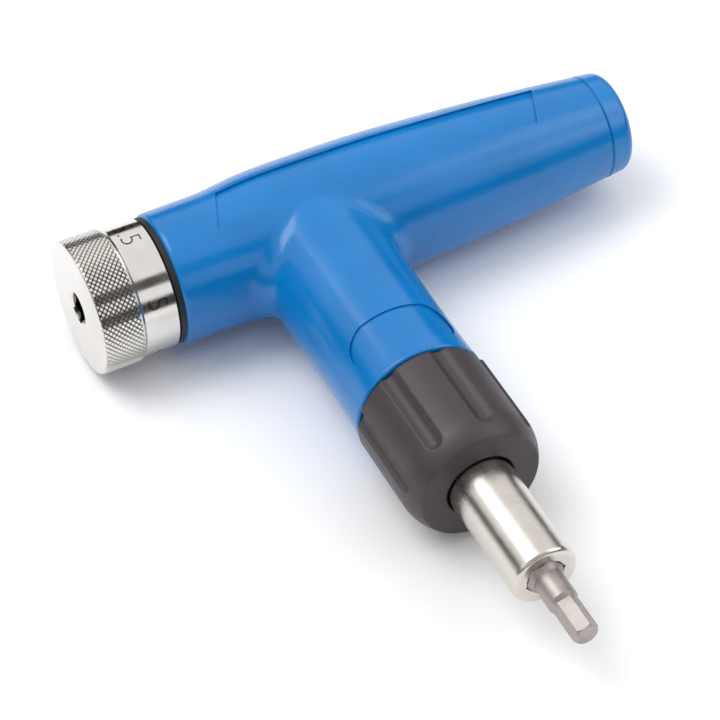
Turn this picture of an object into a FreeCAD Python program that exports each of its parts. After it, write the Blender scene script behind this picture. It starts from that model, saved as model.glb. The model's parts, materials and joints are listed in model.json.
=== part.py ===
import FreeCAD, Part
import math
import os
import types

import Sketcher
from FreeCAD import Placement, Rotation, Vector

# T-handled torque screwdriver, lying on its back on a flat surface, in millimetres.
#
# The handle is a T: the crossbar runs along X, with the torque dial at its -X end and the bit
# store under an end cap at its +X end, and the stem runs towards -Y and carries the bit.
# "At" sizes are distances from the point where the two axes cross: along the crossbar towards
# the dial or the cap, or down the stem towards the bit.

DRIVING_SIZES = [
    # crossbar of the handle
    ("belly_radius", 13.25, "crossbar at the crossing, its thickest place"),
    ("rim_radius", 12.0, "crossbar at the dial end"),
    ("rim_at", 27.5, "end of the moulding towards the dial"),
    ("cap_joint_radius", 9.77, "crossbar at the end cap"),
    ("cap_joint_at", 58.55, "end of the moulding towards the cap"),
    ("swell_end_at", 44.55, "pole of the crossbar's curve towards the cap"),
    ("swell_end_radius", 11.3, "radius of that pole"),
    ("swell_start_at", 28.55, "next pole"),
    ("swell_start_radius", 12.4, "radius of that pole"),
    ("belly_cap_side_at", 14.0, "belly's first pole, towards the cap"),
    ("belly_middle_at", 2.0, "belly's middle pole, towards the cap"),
    ("belly_dial_side_at", 9.0, "belly's last pole, towards the dial"),
    ("neck_start_at", 15.0, "pole of the waist beside the stem, towards the dial"),
    ("neck_start_radius", 12.0, "radius of that pole"),
    ("neck_end_at", 21.0, "next pole"),
    ("neck_end_radius", 12.15, "radius of that pole"),
    ("rim_round", 1.0, "rounded edge at the dial end"),
    ("joint_chamfer", 0.25, "small bevel on each side of the cap joint"),
    # stem of the handle
    ("waist_radius", 11.78, "stem at its thinnest place"),
    ("waist_at", 36.0, "place of the stem's thinnest section"),
    ("stem_root_radius", 12.4, "stem's radius where it starts at the crossing"),
    ("lip_radius", 12.06, "stem at its open end"),
    ("lip_at", 46.5, "open end of the stem"),
    ("lip_round", 0.6, "rounded edge of the stem's open end"),
    ("corner_fillet", 4.5, "fillet where stem and crossbar meet"),
    # recesses in the handle's surface
    ("panel_depth", 0.45, "depth of the long recess on the crossbar"),
    ("panel_near_end_at", 16.0, "long recess, end towards the dial"),
    ("panel_far_end_at", 47.0, "long recess, end towards the cap"),
    ("panel_half_width", 4.3, "long recess, half of its width"),
    ("panel_slant", 1.75, "half of the offset between the ends of its long sides"),
    ("oval_depth", 0.35, "depth of the oval recess on the stem"),
    ("oval_start_at", 35.0, "oval recess, edge towards the crossbar"),
    ("oval_width", 8.6, "oval recess, size down the stem"),
    ("oval_reach", 9.35, "oval recess, half of its size across the stem"),
    ("oval_end", 3.4, "length of its rounded ends, seen from above"),
    ("index_angle", 8.0, "turn of the setting mark from the back of the handle, upwards"),
    ("index_width", 0.8, "width of the setting mark"),
    ("index_length", 3.0, "length of the setting mark"),
    ("index_depth", 0.4, "depth of the setting mark"),
    # bores of the handle
    ("hub_bore_radius", 8.8, "bore for the dial's hub"),
    ("hub_bore_end_at", 22.0, "inner end of that bore"),
    ("shaft_bore_radius", 7.2, "bore for the bush, click spring and cam"),
    ("shaft_bore_end_at", 5.0, "end of that bore, past the crossing"),
    ("inner_bush_radius", 5.0, "outside of the inner camshaft bush"),
    ("inner_bush_end_at", 12.0, "inner end of the inner bush"),
    ("follower_hole_radius", 5.2, "hole for the spring seat's neck"),
    ("housing_radius", 9.4, "outside of the clutch housing"),
    ("housing_start_at", 8.6, "end of the clutch housing near the crossing"),
    ("rib_radius", 10.1, "retaining rib round the clutch housing"),
    ("rib_start_at", 19.0, "start of the rib"),
    ("rib_end_at", 22.0, "end of the rib"),
    ("spigot_bore_radius", 10.55, "counterbore in the stem's open end"),
    ("spigot_bore_start_at", 43.6, "start of that counterbore"),
    ("store_radius", 8.4, "bore of the bit store"),
    ("store_end_at", 24.0, "closed end of the bit store"),
    # dial
    ("dial_face_at", 42.9, "outer face of the dial"),
    ("dial_face_radius", 11.55, "flat of the outer face"),
    ("knurl_radius", 12.2, "knurled ring of the dial"),
    ("knurl_start_at", 42.2, "outer edge of the knurled ring"),
    ("knurl_end_at", 35.6, "inner edge of the knurled ring"),
    ("band_groove_radius", 11.4, "groove between knurl and number band"),
    ("band_start_at", 35.25, "outer edge of the number band"),
    ("band_radius", 11.8, "number band of the dial"),
    ("band_end_at", 28.6, "inner edge of the number band"),
    ("band_bevel", 0.3, "bevel on the number band's edges"),
    ("hub_radius", 8.5, "hub of the dial, inside the handle"),
    ("hub_end_at", 22.6, "inner end of the hub"),
    ("key_flats", 5.0, "hex key socket through the dial, across flats"),
    ("key_mouth_radius", 3.15, "bevelled mouth of the socket"),
    ("key_mouth_depth", 0.5, "depth of that bevel"),
    ("seal_radius", 11.6, "black ring between dial and handle"),
    ("seal_gap", 0.12, "gap between that ring and the dial"),
    # camshaft
    ("cam_hex_start_at", 32.9, "outer end of the camshaft, inside the dial"),
    ("journal_radius", 4.0, "camshaft in its outer bush"),
    ("journal_start_at", 22.5, "outer end of that journal"),
    ("outer_bush_start_at", 21.8, "outer end of the outer bush"),
    ("outer_bush_end_at", 14.0, "inner end of the outer bush"),
    ("wheel_start_at", 13.8, "outer face of the click wheel"),
    ("wheel_end_at", 9.4, "inner face of the click wheel"),
    ("wheel_radius", 6.4, "click wheel"),
    ("notch_radius", 1.1, "radius of its notches"),
    ("notch_depth", 0.5, "depth of its notches"),
    ("settings", 5, "number of torque settings, one notch each"),
    ("cam_half_width", 4.0, "half of the cam's width"),
    ("cam_low", 4.0, "cam at the lowest setting"),
    ("cam_neck_relief", 0.4, "step from the lowest cam height down to the shaft"),
    ("cam_rise", 2.4, "rise of the cam from the lowest to the highest setting"),
    ("inner_journal_radius", 3.0, "camshaft in its inner bush"),
    ("inner_journal_end_at", 11.8, "inner end of the camshaft"),
    ("running_gap", 0.05, "radial gap of a shaft in its bush"),
    ("face_gap", 0.05, "gap between sliding faces"),
    # click spring
    ("click_band", 0.4, "thickness of the click spring"),
    ("click_clear", 0.05, "gap between click spring and bore"),
    ("click_width", 4.0, "width of the click spring"),
    ("click_opening", 5.0, "opening of the C"),
    ("click_side_gap", 0.2, "gap between click spring and outer bush"),
    ("tang_width", 1.2, "tang of the click spring"),
    ("tang_height", 0.9, "height of the tang, in a slot of the bore"),
    # spring seat and torque spring
    ("housing_bore_radius", 7.95, "bore of the clutch housing"),
    ("slide_gap", 0.08, "radial gap of the sliding parts in the housing"),
    ("seat_neck_radius", 4.9, "neck of the spring seat"),
    ("seat_disc_start_at", 11.4, "start of the spring seat's disc"),
    ("spring_start_at", 14.4, "torque spring, end on its seat"),
    ("spring_end_at", 36.4, "torque spring, end on the clutch ring"),
    ("spring_radius", 7.5, "outside of the torque spring"),
    ("spring_wire", 2.0, "wire of the torque spring"),
    ("spring_turns", 6.5, "turns of the torque spring"),
    ("guide_radius", 4.9, "bosses inside the spring"),
    ("guide_length", 4.5, "length of those bosses"),
    # clutch
    ("tooth_count", 6, "helical ramp teeth"),
    ("tooth_rise", 1.2, "height of a tooth"),
    ("tooth_ramp", 50.0, "angle that a ramp covers"),
    ("tooth_tip", 9.0, "angle of the flat tip of a tooth on the ring"),
    ("tooth_inner_radius", 4.2, "teeth, inner radius"),
    ("tooth_outer_radius", 7.3, "teeth, outer radius"),
    ("ring_face_at", 42.2, "clutch ring, face between its teeth"),
    ("key_width", 3.0, "keys on the clutch ring"),
    ("key_radius", 8.5, "outside of those keys"),
    ("key_count", 3, "keys on the clutch ring"),
    ("keyway_start_at", 32.0, "start of the keyways in the housing"),
    ("pilot_radius", 3.4, "spindle's pilot in the clutch ring"),
    ("pilot_start_at", 38.0, "end of that pilot"),
    # spindle and its bearing
    ("flange_radius", 7.5, "spindle's flange"),
    ("flange_end_at", 46.4, "front of the flange"),
    ("washer_end_at", 47.5, "front of the thrust washer"),
    ("bush_end_at", 58.4, "front of the spindle bush"),
    ("spindle_radius", 5.0, "spindle in its bush"),
    ("spindle_neck_radius", 4.0, "spindle inside the bit holder"),
    ("spindle_shoulder_at", 60.5, "shoulder of the spindle behind the bit holder"),
    ("spindle_end_at", 71.5, "front end of the spindle"),
    ("housing_end_at", 58.5, "front end of the clutch housing"),
    # nose collar
    ("collar_spigot_radius", 10.5, "collar's spigot in the stem"),
    ("collar_spigot_start_at", 43.7, "inner end of the spigot"),
    ("collar_start_at", 47.0, "collar, edge at the stem"),
    ("collar_radius", 12.4, "collar"),
    ("collar_shoulder_at", 62.5, "start of the collar's rounded shoulder"),
    ("collar_front_at", 67.5, "front face of the collar"),
    ("collar_face_radius", 10.84, "edge of that face"),
    ("collar_cavity_radius", 7.5, "space behind the collar's front wall"),
    ("collar_wall_at", 64.5, "inner face of the front wall"),
    ("collar_hole_radius", 6.27, "hole for the bit holder"),
    ("collar_edge_bevel", 0.3, "bevel of the collar's edge at the stem"),
    ("flute_count", 8, "flutes round the collar"),
    ("flute_cutter", 2.06, "radius of the round cutter"),
    ("flute_depth", 0.95, "depth of a flute"),
    ("flute_end_at", 63.5, "place where the cutter stops"),
    ("flute_turn", 11.5, "turn of the flutes from the top"),
    # bit holder
    ("holder_radius", 5.9, "bit holder"),
    ("holder_start_at", 61.0, "inner end of the bit holder"),
    ("holder_tail_radius", 5.7, "bit holder inside the collar"),
    ("holder_tail_end_at", 67.8, "end of that thinner tail"),
    ("holder_front_at", 89.4, "front end of the bit holder"),
    ("holder_round", 0.9, "rounded front edge"),
    ("holder_bore_end_at", 72.0, "end of the bore for the spindle"),
    ("socket_flats", 6.45, "hex socket, across flats"),
    ("socket_depth", 11.9, "depth of the hex socket"),
    ("socket_mouth_radius", 3.5, "bevelled mouth of the socket"),
    ("magnet_radius", 2.5, "holder magnet"),
    ("magnet_length", 3.0, "length of the holder magnet"),
    ("pin_radius", 1.0, "cross pin of the bit holder"),
    ("pin_at", 62.8, "place of the cross pin"),
    ("snap_wire", 0.8, "wire of the ring that grips the bit"),
    ("snap_at", 86.1, "place of that ring"),
    ("snap_radius", 4.15, "middle of that ring"),
    ("snap_opening", 2.0, "opening of that ring"),
    # bits
    ("shank_flats", 6.35, "hex shank of a bit, across flats"),
    ("shank_length", 11.8, "length of the shank"),
    ("shank_bevel", 0.45, "bevel on the shank's back end"),
    ("neck_radius", 2.6, "turned neck of a bit"),
    ("neck_cone", 0.75, "length of the cone between shank and neck"),
    ("bit_length", 25.0, "length of a bit"),
    ("bit_tip_at", 102.6, "end of the bit in the holder"),
    ("tip_length", 6.7, "length of the drive tip"),
    ("tip_bevel", 0.35, "bevel on the end of the drive tip"),
    ("main_tip_flats", 4.0, "hex tip of the bit in the holder"),
    ("small_tip_flats", 3.0, "hex tip of the small spare bit"),
    ("large_tip_flats", 5.0, "hex tip of the large spare bit"),
    ("star_radius", 2.25, "star tip over its points"),
    ("star_groove", 0.62, "radius of the hollows of the star"),
    ("star_groove_at", 2.42, "centres of those hollows"),
    ("bit_turn", -14.0, "turn of the bit, and of what turns with it"),
    # bit store
    ("store_magnet_length", 2.0, "disc magnet at the store's closed end"),
    ("rack_gap", 0.1, "gap between rack and store"),
    ("rack_end_at", 43.0, "open end of the rack"),
    ("rack_pitch_radius", 4.15, "centres of the three bits"),
    # end cap
    ("cap_end_at", 63.2, "outer face of the cap"),
    ("cap_end_radius", 9.3, "cap near its outer face"),
    ("cap_round", 1.7, "rounded edge of the cap"),
    ("cap_spigot_radius", 8.3, "cap's spigot in the store"),
    ("cap_spigot_start_at", 53.2, "inner end of the spigot"),
    ("cap_dish_radius", 6.0, "dish in the spigot's end"),
    ("cap_dish_depth", 2.5, "depth of that dish"),
    ("ring_groove_at", 55.9, "middle of the sealing ring's groove"),
    ("ring_groove_half_width", 0.75, "half of that groove's width"),
    ("ring_groove_radius", 6.95, "bottom of that groove"),
    ("ring_wire", 1.3, "wire of the sealing ring"),
    ("ring_middle_radius", 7.68, "middle of the sealing ring"),
]


class Size(float):
    """A number that remembers the spreadsheet formula that it comes from."""

    def __new__(cls, number, formula=None):
        made = super().__new__(cls, number)
        made.formula = formula or f"{float(number):.9g}"
        return made

    def __add__(self, other):
        return Size(float(self) + float(other), f"({self.formula} + {formula_of(other)})")

    def __sub__(self, other):
        return Size(float(self) - float(other), f"({self.formula} - {formula_of(other)})")

    def __mul__(self, other):
        return Size(float(self) * float(other), f"({self.formula} * {formula_of(other)})")

    def __truediv__(self, other):
        return Size(float(self) / float(other), f"({self.formula} / {formula_of(other)})")

    def __radd__(self, other):
        return Size(other) + self

    def __rsub__(self, other):
        return Size(other) - self

    def __rmul__(self, other):
        return Size(other) * self

    def __neg__(self):
        return Size(-float(self), f"(0 - {self.formula})")


def formula_of(number):
    return number.formula if isinstance(number, Size) else f"{float(number):.9g}"


doc = FreeCAD.newDocument("torque_screwdriver")


def fill_spreadsheet():
    """Writes the driving sizes to the sheet and gives them back as named numbers."""
    sheet = doc.addObject("Spreadsheet::Sheet", "Sizes")
    named = types.SimpleNamespace()
    for row, (alias, number, meaning) in enumerate(DRIVING_SIZES, start=1):
        sheet.set(f"A{row}", meaning)
        sheet.set(f"B{row}", str(number))
        sheet.setAlias(f"B{row}", alias)
        setattr(named, alias, Size(number, f"Sizes.{alias}"))
    doc.recompute()
    return named


size = fill_spreadsheet()
ZERO = Size(0)
CORNERS_TO_FLATS = math.sqrt(3)

# The part stands with the middle of its own box at the origin, lowest point on Z = 0.
MIDDLE_X = (size.cap_end_at - size.dial_face_at) / 2
MIDDLE_Y = (size.belly_radius - size.bit_tip_at) / 2

pieces = []


def bind(thing, prop, number):
    """Ties a property to the sheet through a formula."""
    thing.setExpression(prop, formula_of(number))


def cosine(angle):
    return Size(math.cos(math.radians(angle)), f"cos({formula_of(angle)} * 1deg)")


def sine(angle):
    return Size(math.sin(math.radians(angle)), f"sin({formula_of(angle)} * 1deg)")


def tangent_radius(length, drop):
    """Radius of an arc that starts level and falls by drop over length."""
    return (length * length + drop * drop) / (2 * drop)


# ---------------------------------------------------------------- sketches

def new_body(name):
    return doc.addObject("PartDesign::Body", name)


def origin_feature(body, role):
    return next(each for each in body.Origin.OriginFeatures if each.Role == role)


def new_sketch(body, plane="XY_Plane", right=ZERO, up=ZERO, out=ZERO, turn_over=None):
    """An empty sketch on one of the body's own planes, shifted in the sketch's directions.
    One that is turned over about an axis puts the seam of a turned face on the far side."""
    sketch = body.newObject("Sketcher::SketchObject", f"{body.Name}_sketch")
    sketch.AttachmentSupport = [(origin_feature(body, plane), "")]
    sketch.MapMode = "FlatFace"
    if turn_over:
        sketch.AttachmentOffset = Placement(Vector(), Rotation(turn_over, 180))
    for axis, shift in zip("xyz", (right, up, out)):
        bind(sketch, f"AttachmentOffset.Base.{axis}", shift)
    return sketch


def pin_point(sketch, curve, end, across, up):
    """Holds a curve's end at a place measured from the sketch's origin."""
    for kind, axis, distance in (("DistanceX", -2, across), ("DistanceY", -1, up)):
        if distance == 0:
            sketch.addConstraint(Sketcher.Constraint("PointOnObject", curve, end, axis))
            continue
        pair = (-1, 1, curve, end) if distance > 0 else (curve, end, -1, 1)
        length = distance if distance > 0 else -distance
        index = sketch.addConstraint(Sketcher.Constraint(kind, *pair, float(length)))
        bind(sketch, f"Constraints[{index}]", length)


def arc_between(start, stop, radius):
    """Arc from start to stop, bulging to the left of the way there when radius is positive."""
    way = stop - start
    middle = (start + stop) / 2
    right = Vector(way.y, -way.x, 0).normalize()
    reach = math.sqrt(max(radius * radius - way.Length ** 2 / 4, 0))
    centre = middle + right * math.copysign(reach, radius)
    circle = Part.Circle(centre, Vector(0, 0, 1), abs(radius))
    first, last = (stop, start) if radius > 0 else (start, stop)
    return Part.ArcOfCircle(circle, circle.parameter(first), circle.parameter(last))


def outline(sketch, corners):
    """Closed outline through corners (across, up), clockwise. A third number is the radius of
    the arc that leads on to the next corner: positive swells outwards, negative is hollow."""
    points = [Vector(corner[0], corner[1], 0) for corner in corners]
    ends = []
    for index, corner in enumerate(corners):
        start, stop = points[index], points[(index + 1) % len(points)]
        if len(corner) == 3:
            curve = sketch.addGeometry(arc_between(start, stop, float(corner[2])), False)
            ends.append((curve, 2, 1) if corner[2] > 0 else (curve, 1, 2))
            held = sketch.addConstraint(
                Sketcher.Constraint("Radius", curve, abs(float(corner[2]))))
            outward = corner[2] if corner[2] > 0 else -corner[2]
            bind(sketch, f"Constraints[{held}]", outward)
        else:
            curve = sketch.addGeometry(Part.LineSegment(start, stop), False)
            ends.append((curve, 1, 2))
    for index, (curve, first, last) in enumerate(ends):
        following, its_first, _ = ends[(index + 1) % len(ends)]
        sketch.addConstraint(
            Sketcher.Constraint("Coincident", curve, last, following, its_first))
        pin_point(sketch, curve, first, corners[index][0], corners[index][1])
    return sketch


def curve_over_axis(sketch, poles):
    """Closed half section between the sketch's level axis and a smooth curve of given poles."""
    spline = Part.BSplineCurve([Vector(across, up, 0) for across, up in poles],
                               None, None, False, 3, None, False)
    curve = sketch.addGeometry(spline, False)
    sketch.exposeInternalGeometry(curve)
    handles = [index for index, shape in enumerate(sketch.Geometry)
               if isinstance(shape, Part.Circle)]
    for handle_index, (across, up) in zip(handles, poles):
        pin_point(sketch, handle_index, 3, across, up)
    first, last = poles[0], poles[-1]
    ends = [Vector(first[0], 0, 0), Vector(first[0], first[1], 0),
            Vector(last[0], last[1], 0), Vector(last[0], 0, 0)]
    rise = sketch.addGeometry(Part.LineSegment(ends[0], ends[1]), False)
    fall = sketch.addGeometry(Part.LineSegment(ends[2], ends[3]), False)
    base = sketch.addGeometry(Part.LineSegment(ends[3], ends[0]), False)
    for joined in ((rise, 2, curve, 1), (curve, 2, fall, 1), (fall, 2, base, 1),
                   (base, 2, rise, 1)):
        sketch.addConstraint(Sketcher.Constraint("Coincident", *joined))
    pin_point(sketch, rise, 1, first[0], ZERO)
    pin_point(sketch, fall, 2, last[0], ZERO)


def circle(sketch, radius, across=ZERO, up=ZERO):
    place = Vector(across, up, 0)
    curve = sketch.addGeometry(Part.Circle(place, Vector(0, 0, 1), float(radius)), False)
    index = sketch.addConstraint(Sketcher.Constraint("Radius", curve, float(radius)))
    bind(sketch, f"Constraints[{index}]", radius)
    pin_point(sketch, curve, 3, across, up)
    return sketch


def hexagon(sketch, flats):
    """Regular hexagon round the sketch's origin, with two corners on its upright axis."""
    corner = flats / CORNERS_TO_FLATS
    ring = sketch.addGeometry(Part.Circle(Vector(), Vector(0, 0, 1), float(corner)), True)
    sketch.addConstraint(Sketcher.Constraint("Coincident", ring, 3, -1, 1))
    index = sketch.addConstraint(Sketcher.Constraint("Radius", ring, float(corner)))
    bind(sketch, f"Constraints[{index}]", corner)
    angles = [math.radians(90 + 60 * step) for step in range(6)]
    points = [Vector(math.cos(angle), math.sin(angle), 0) * float(corner) for angle in angles]
    sides = [sketch.addGeometry(Part.LineSegment(points[side], points[(side + 1) % 6]), False)
             for side in range(6)]
    for side in sides:
        following = sides[(sides.index(side) + 1) % 6]
        sketch.addConstraint(Sketcher.Constraint("Coincident", side, 2, following, 1))
        sketch.addConstraint(Sketcher.Constraint("PointOnObject", side, 1, ring))
        if side != sides[0]:
            sketch.addConstraint(Sketcher.Constraint("Equal", sides[0], side))
    sketch.addConstraint(Sketcher.Constraint("PointOnObject", sides[0], 1, -2))
    return sketch


# ---------------------------------------------------------------- features

def feature(body, kind, profile, **values):
    """Adds a feature that uses a sketch, with its sizes tied to the sheet."""
    made = body.newObject(f"PartDesign::{kind}", f"{body.Name}_{kind}")
    made.Profile = profile
    for prop, number in values.items():
        if isinstance(number, Size):
            bind(made, prop, number)
        else:
            setattr(made, prop, number)
    return made


def turned(body, corners, axis="H_Axis", cut=False, sketch=None):
    """Turns an outline about the sketch's own axis, as metal or as a cut."""
    profile = outline(sketch or new_sketch(body), corners)
    kind = "Groove" if cut else "Revolution"
    return feature(body, kind, profile, ReferenceAxis=(profile, [axis]), Angle=360.0)


def pattern(body, originals, count, axis="X_Axis"):
    """Repeats features evenly about one of the body's axes."""
    made = body.newObject("PartDesign::PolarPattern", f"{body.Name}_pattern")
    made.Originals = originals
    made.Axis = (origin_feature(body, axis), [""])
    made.Angle = 360.0
    bind(made, "Occurrences", count)
    body.Tip = made
    return made


def dress(body, kind, edges, amount):
    """Fillets or chamfers the named edges of the body's newest feature."""
    base = body.Tip
    made = body.newObject(f"PartDesign::{kind}", f"{body.Name}_{kind}")
    made.Base = (base, edges)
    bind(made, "Radius" if kind == "Fillet" else "Size", amount)
    return made


def edges_where(body, test):
    """Names of the edges of the body's newest feature that pass a test."""
    doc.recompute()
    edges = body.Tip.Shape.Edges
    return [f"Edge{number}" for number, edge in enumerate(edges, start=1) if test(edge)]


def rings(body, radius, x=0.0, y=0.0):
    """The body's circular edges of one radius round one centre."""
    def matches(edge):
        curve = edge.Curve
        return (isinstance(curve, Part.Circle) and abs(curve.Radius - radius) < 1e-4
                and curve.Center.distanceToPoint(Vector(x, y, 0)) < 1e-4)
    return edges_where(body, matches)


def expect_less(body, before):
    """A cut that removed nothing is a mistake."""
    doc.recompute()
    if body.Shape.Volume > before - 1e-3:
        raise ValueError(f"{body.Name}: a cut removed nothing")


def primitive(kind, name, **values):
    """A Part primitive with its sizes tied to the sheet."""
    made = doc.addObject(f"Part::{kind}", name)
    for prop, number in values.items():
        bind(made, prop, number)
    return made


def boolean(kind, name, **operands):
    """A Part boolean of other objects."""
    made = doc.addObject(f"Part::{kind}", name)
    for prop, operand in operands.items():
        setattr(made, prop, operand)
    return made


def shift(thing, **shifts):
    for axis, distance in shifts.items():
        bind(thing, f"Placement.Base.{axis}", distance)


# ---------------------------------------------------------------- places

TO_CROSSBAR = Rotation(Vector(1, 1, 1), 120)
DOWN_STEM = Rotation(Vector(1, 0, 0), 90)


def finish(thing, label, place=Vector(), turn=Rotation()):
    """Names a sub-part and puts it in its place in the tool, measured from the crossing."""
    thing.Label = label
    thing.Placement = Placement(Vector(), turn)
    for axis, shift in zip("xyz", place):
        bind(thing, f"Placement.Base.{axis}", shift)
    pieces.append(thing)


def on_crossbar(thing, label, station, spin=0.0):
    """Local +X runs along the crossbar from the dial to the cap; station is signed."""
    turn = Rotation(Vector(1, 0, 0), float(spin))
    finish(thing, label, (station - MIDDLE_X, -MIDDLE_Y, size.belly_radius), turn)


def on_stem(thing, label, distance, spin=0.0):
    """Local +X runs down the stem towards the bit, and local +Z stays up."""
    down = Rotation(Vector(0, 0, 1), -90)
    turn = down * Rotation(Vector(1, 0, 0), float(spin))
    finish(thing, label, (-MIDDLE_X, -distance - MIDDLE_Y, size.belly_radius), turn)


def stepped(label, steps, bore=None):
    """A turned piece of plain steps (length so far, radius), with an optional through bore."""
    body = new_body(label)
    inner = bore if bore is not None else ZERO
    corners = [(ZERO, inner)]
    reached = ZERO
    for length, radius in steps:
        corners += [(reached, radius), (length, radius)]
        reached = length
    corners.append((reached, inner))
    turned(body, corners)
    return body


# ---------------------------------------------------------------- handle
#
# The handle's own frame starts at the cap joint: X runs towards the dial, Y is the stem's
# direction and Z is up, so the two axes cross at X = cap_joint_at.

def crossbar(body, inset=ZERO):
    """The crossbar, turned from one smooth curve: a long swell from the cap to the belly, then
    down to a waist and the dial end. Three poles of one radius hold the belly's top."""
    joint = size.cap_joint_at
    poles = [
        (ZERO, size.cap_joint_radius),
        (joint - size.swell_end_at, size.swell_end_radius),
        (joint - size.swell_start_at, size.swell_start_radius),
        (joint - size.belly_cap_side_at, size.belly_radius),
        (joint - size.belly_middle_at, size.belly_radius),
        (joint + size.belly_dial_side_at, size.belly_radius),
        (joint + size.neck_start_at, size.neck_start_radius),
        (joint + size.neck_end_at, size.neck_end_radius),
        (joint + size.rim_at, size.rim_radius),
    ]
    sketch = new_sketch(body, turn_over=Vector(1, 0, 0))
    curve_over_axis(sketch, [(place, radius - inset) for place, radius in poles])
    return feature(body, "Revolution", sketch, ReferenceAxis=(sketch, ["H_Axis"]), Angle=360.0)


def stem_outline(inset=ZERO):
    """Half section of the stem, hollow along its length and flared at its open end."""
    flare = tangent_radius(size.lip_at - size.waist_at, size.lip_radius - size.waist_radius)
    taper = tangent_radius(size.waist_at, size.stem_root_radius - size.waist_radius)
    return [
        (ZERO, ZERO),
        (ZERO, size.lip_at),
        (size.lip_radius - inset, size.lip_at, -flare),
        (size.waist_radius - inset, size.waist_at, -taper),
        (size.stem_root_radius - inset, ZERO),
    ]


def stem_sketch(body):
    return new_sketch(body, right=size.cap_joint_at, turn_over=Vector(0, 1, 0))


def where_stem_meets_crossbar(edge):
    middle = edge.valueAt((edge.FirstParameter + edge.LastParameter) / 2)
    from_stem = math.hypot(middle.x - size.cap_joint_at, middle.z)
    from_crossbar = math.hypot(middle.y, middle.z)
    beside_stem = size.waist_radius - 0.5 < from_stem < size.stem_root_radius + 0.5
    on_belly = size.rim_radius - 0.5 < from_crossbar < size.belly_radius + 0.5
    return beside_stem and on_belly and 0 < middle.y < size.belly_radius


def handle_moulding():
    """The T with its bores, before the recesses."""
    body = new_body("handle_moulding")
    joint = size.cap_joint_at
    crossbar(body)
    turned(body, stem_outline(), "V_Axis", sketch=stem_sketch(body))
    dress(body, "Fillet", edges_where(body, where_stem_meets_crossbar), size.corner_fillet)
    dress(body, "Fillet", rings(body, size.rim_radius, joint + size.rim_at), size.rim_round)
    dress(body, "Fillet", rings(body, size.lip_radius, joint, size.lip_at), size.lip_round)
    edge, bevel = size.cap_joint_radius, size.joint_chamfer
    turned(body, [(ZERO, edge - bevel), (ZERO, edge + bevel), (bevel * 2, edge + bevel)],
           cut=True)
    doc.recompute()
    solid = body.Shape.Volume

    dial_bores = [
        (joint - size.inner_bush_end_at, ZERO),
        (joint - size.inner_bush_end_at, size.inner_bush_radius),
        (joint - size.shaft_bore_end_at, size.inner_bush_radius),
        (joint - size.shaft_bore_end_at, size.shaft_bore_radius),
        (joint + size.hub_bore_end_at, size.shaft_bore_radius),
        (joint + size.hub_bore_end_at, size.hub_bore_radius),
        (joint + size.rim_at, size.hub_bore_radius),
        (joint + size.rim_at, ZERO),
    ]
    turned(body, dial_bores, cut=True)
    store_end = joint - size.store_end_at
    turned(body, [(ZERO, ZERO), (ZERO, size.store_radius), (store_end, size.store_radius),
                  (store_end, ZERO)], cut=True)
    stem_bores = [
        (ZERO, ZERO),
        (ZERO, size.lip_at),
        (size.spigot_bore_radius, size.lip_at),
        (size.spigot_bore_radius, size.spigot_bore_start_at),
        (size.housing_radius, size.spigot_bore_start_at),
        (size.housing_radius, size.rib_end_at),
        (size.rib_radius, size.rib_end_at),
        (size.rib_radius, size.rib_start_at),
        (size.housing_radius, size.rib_start_at),
        (size.housing_radius, size.housing_start_at),
        (size.follower_hole_radius, size.housing_start_at),
        (size.follower_hole_radius, ZERO),
    ]
    turned(body, stem_bores, "V_Axis", cut=True, sketch=stem_sketch(body))
    expect_less(body, solid)

    slot = new_sketch(body, "YZ_Plane", out=joint + size.hub_bore_end_at)
    half = size.tang_width / 2 + size.click_clear
    outline(slot, [(-half, -size.shaft_bore_radius - size.tang_height), (-half, ZERO),
                   (half, ZERO), (half, -size.shaft_bore_radius - size.tang_height)])
    feature(body, "Pocket", slot, Length=size.hub_bore_end_at - size.wheel_end_at)
    return body


def handle():
    moulding = handle_moulding()
    joint = size.cap_joint_at

    panel_core = new_body("panel_core")
    crossbar(panel_core, size.panel_depth)
    panel = new_body("panel_prism")
    near, far = joint + size.panel_near_end_at, joint - size.panel_far_end_at
    slant, half = size.panel_slant, size.panel_half_width
    shape = outline(new_sketch(panel), [(far - slant, -half), (far + slant, half),
                                        (near + slant, half), (near - slant, -half)])
    feature(panel, "Pad", shape, Length=size.belly_radius * 2)

    oval_core = new_body("oval_core")
    turned(oval_core, stem_outline(size.oval_depth), "V_Axis", sketch=stem_sketch(oval_core))
    oval = new_body("oval_prism")
    half, straight = size.oval_width / 2, size.oval_reach - size.oval_end
    rounding = tangent_radius(half, size.oval_end)
    middle = new_sketch(oval, right=joint, up=size.oval_start_at + half)
    outline(middle, [(-straight, -half, rounding), (-straight, half),
                     (straight, half, rounding), (straight, -half)])
    feature(oval, "Pad", middle, Length=size.belly_radius * 2)

    mark = doc.addObject("Part::Box", "setting_mark")
    bind(mark, "Length", size.index_length)
    bind(mark, "Width", size.index_width)
    bind(mark, "Height", size.index_depth * 4)
    to_back = Placement(Vector(), Rotation(Vector(1, 0, 0), 90 - float(size.index_angle)))
    corner = Vector(joint + size.rim_at - size.index_length, -size.index_width / 2,
                    size.rim_radius - size.index_depth)
    mark.Placement = to_back * Placement(corner, Rotation())

    panel_tool = boolean("Cut", "panel_tool", Base=panel, Tool=panel_core)
    oval_tool = boolean("Cut", "oval_tool", Base=oval, Tool=oval_core)
    tools = boolean("MultiFuse", "recess_tools", Shapes=[panel_tool, oval_tool, mark])
    cut = boolean("Cut", "handle", Base=moulding, Tool=tools)
    finish(cut, "handle", (joint - MIDDLE_X, -MIDDLE_Y, size.belly_radius),
           Rotation(Vector(0, 0, 1), 180))


# ---------------------------------------------------------------- dial and camshaft

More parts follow.
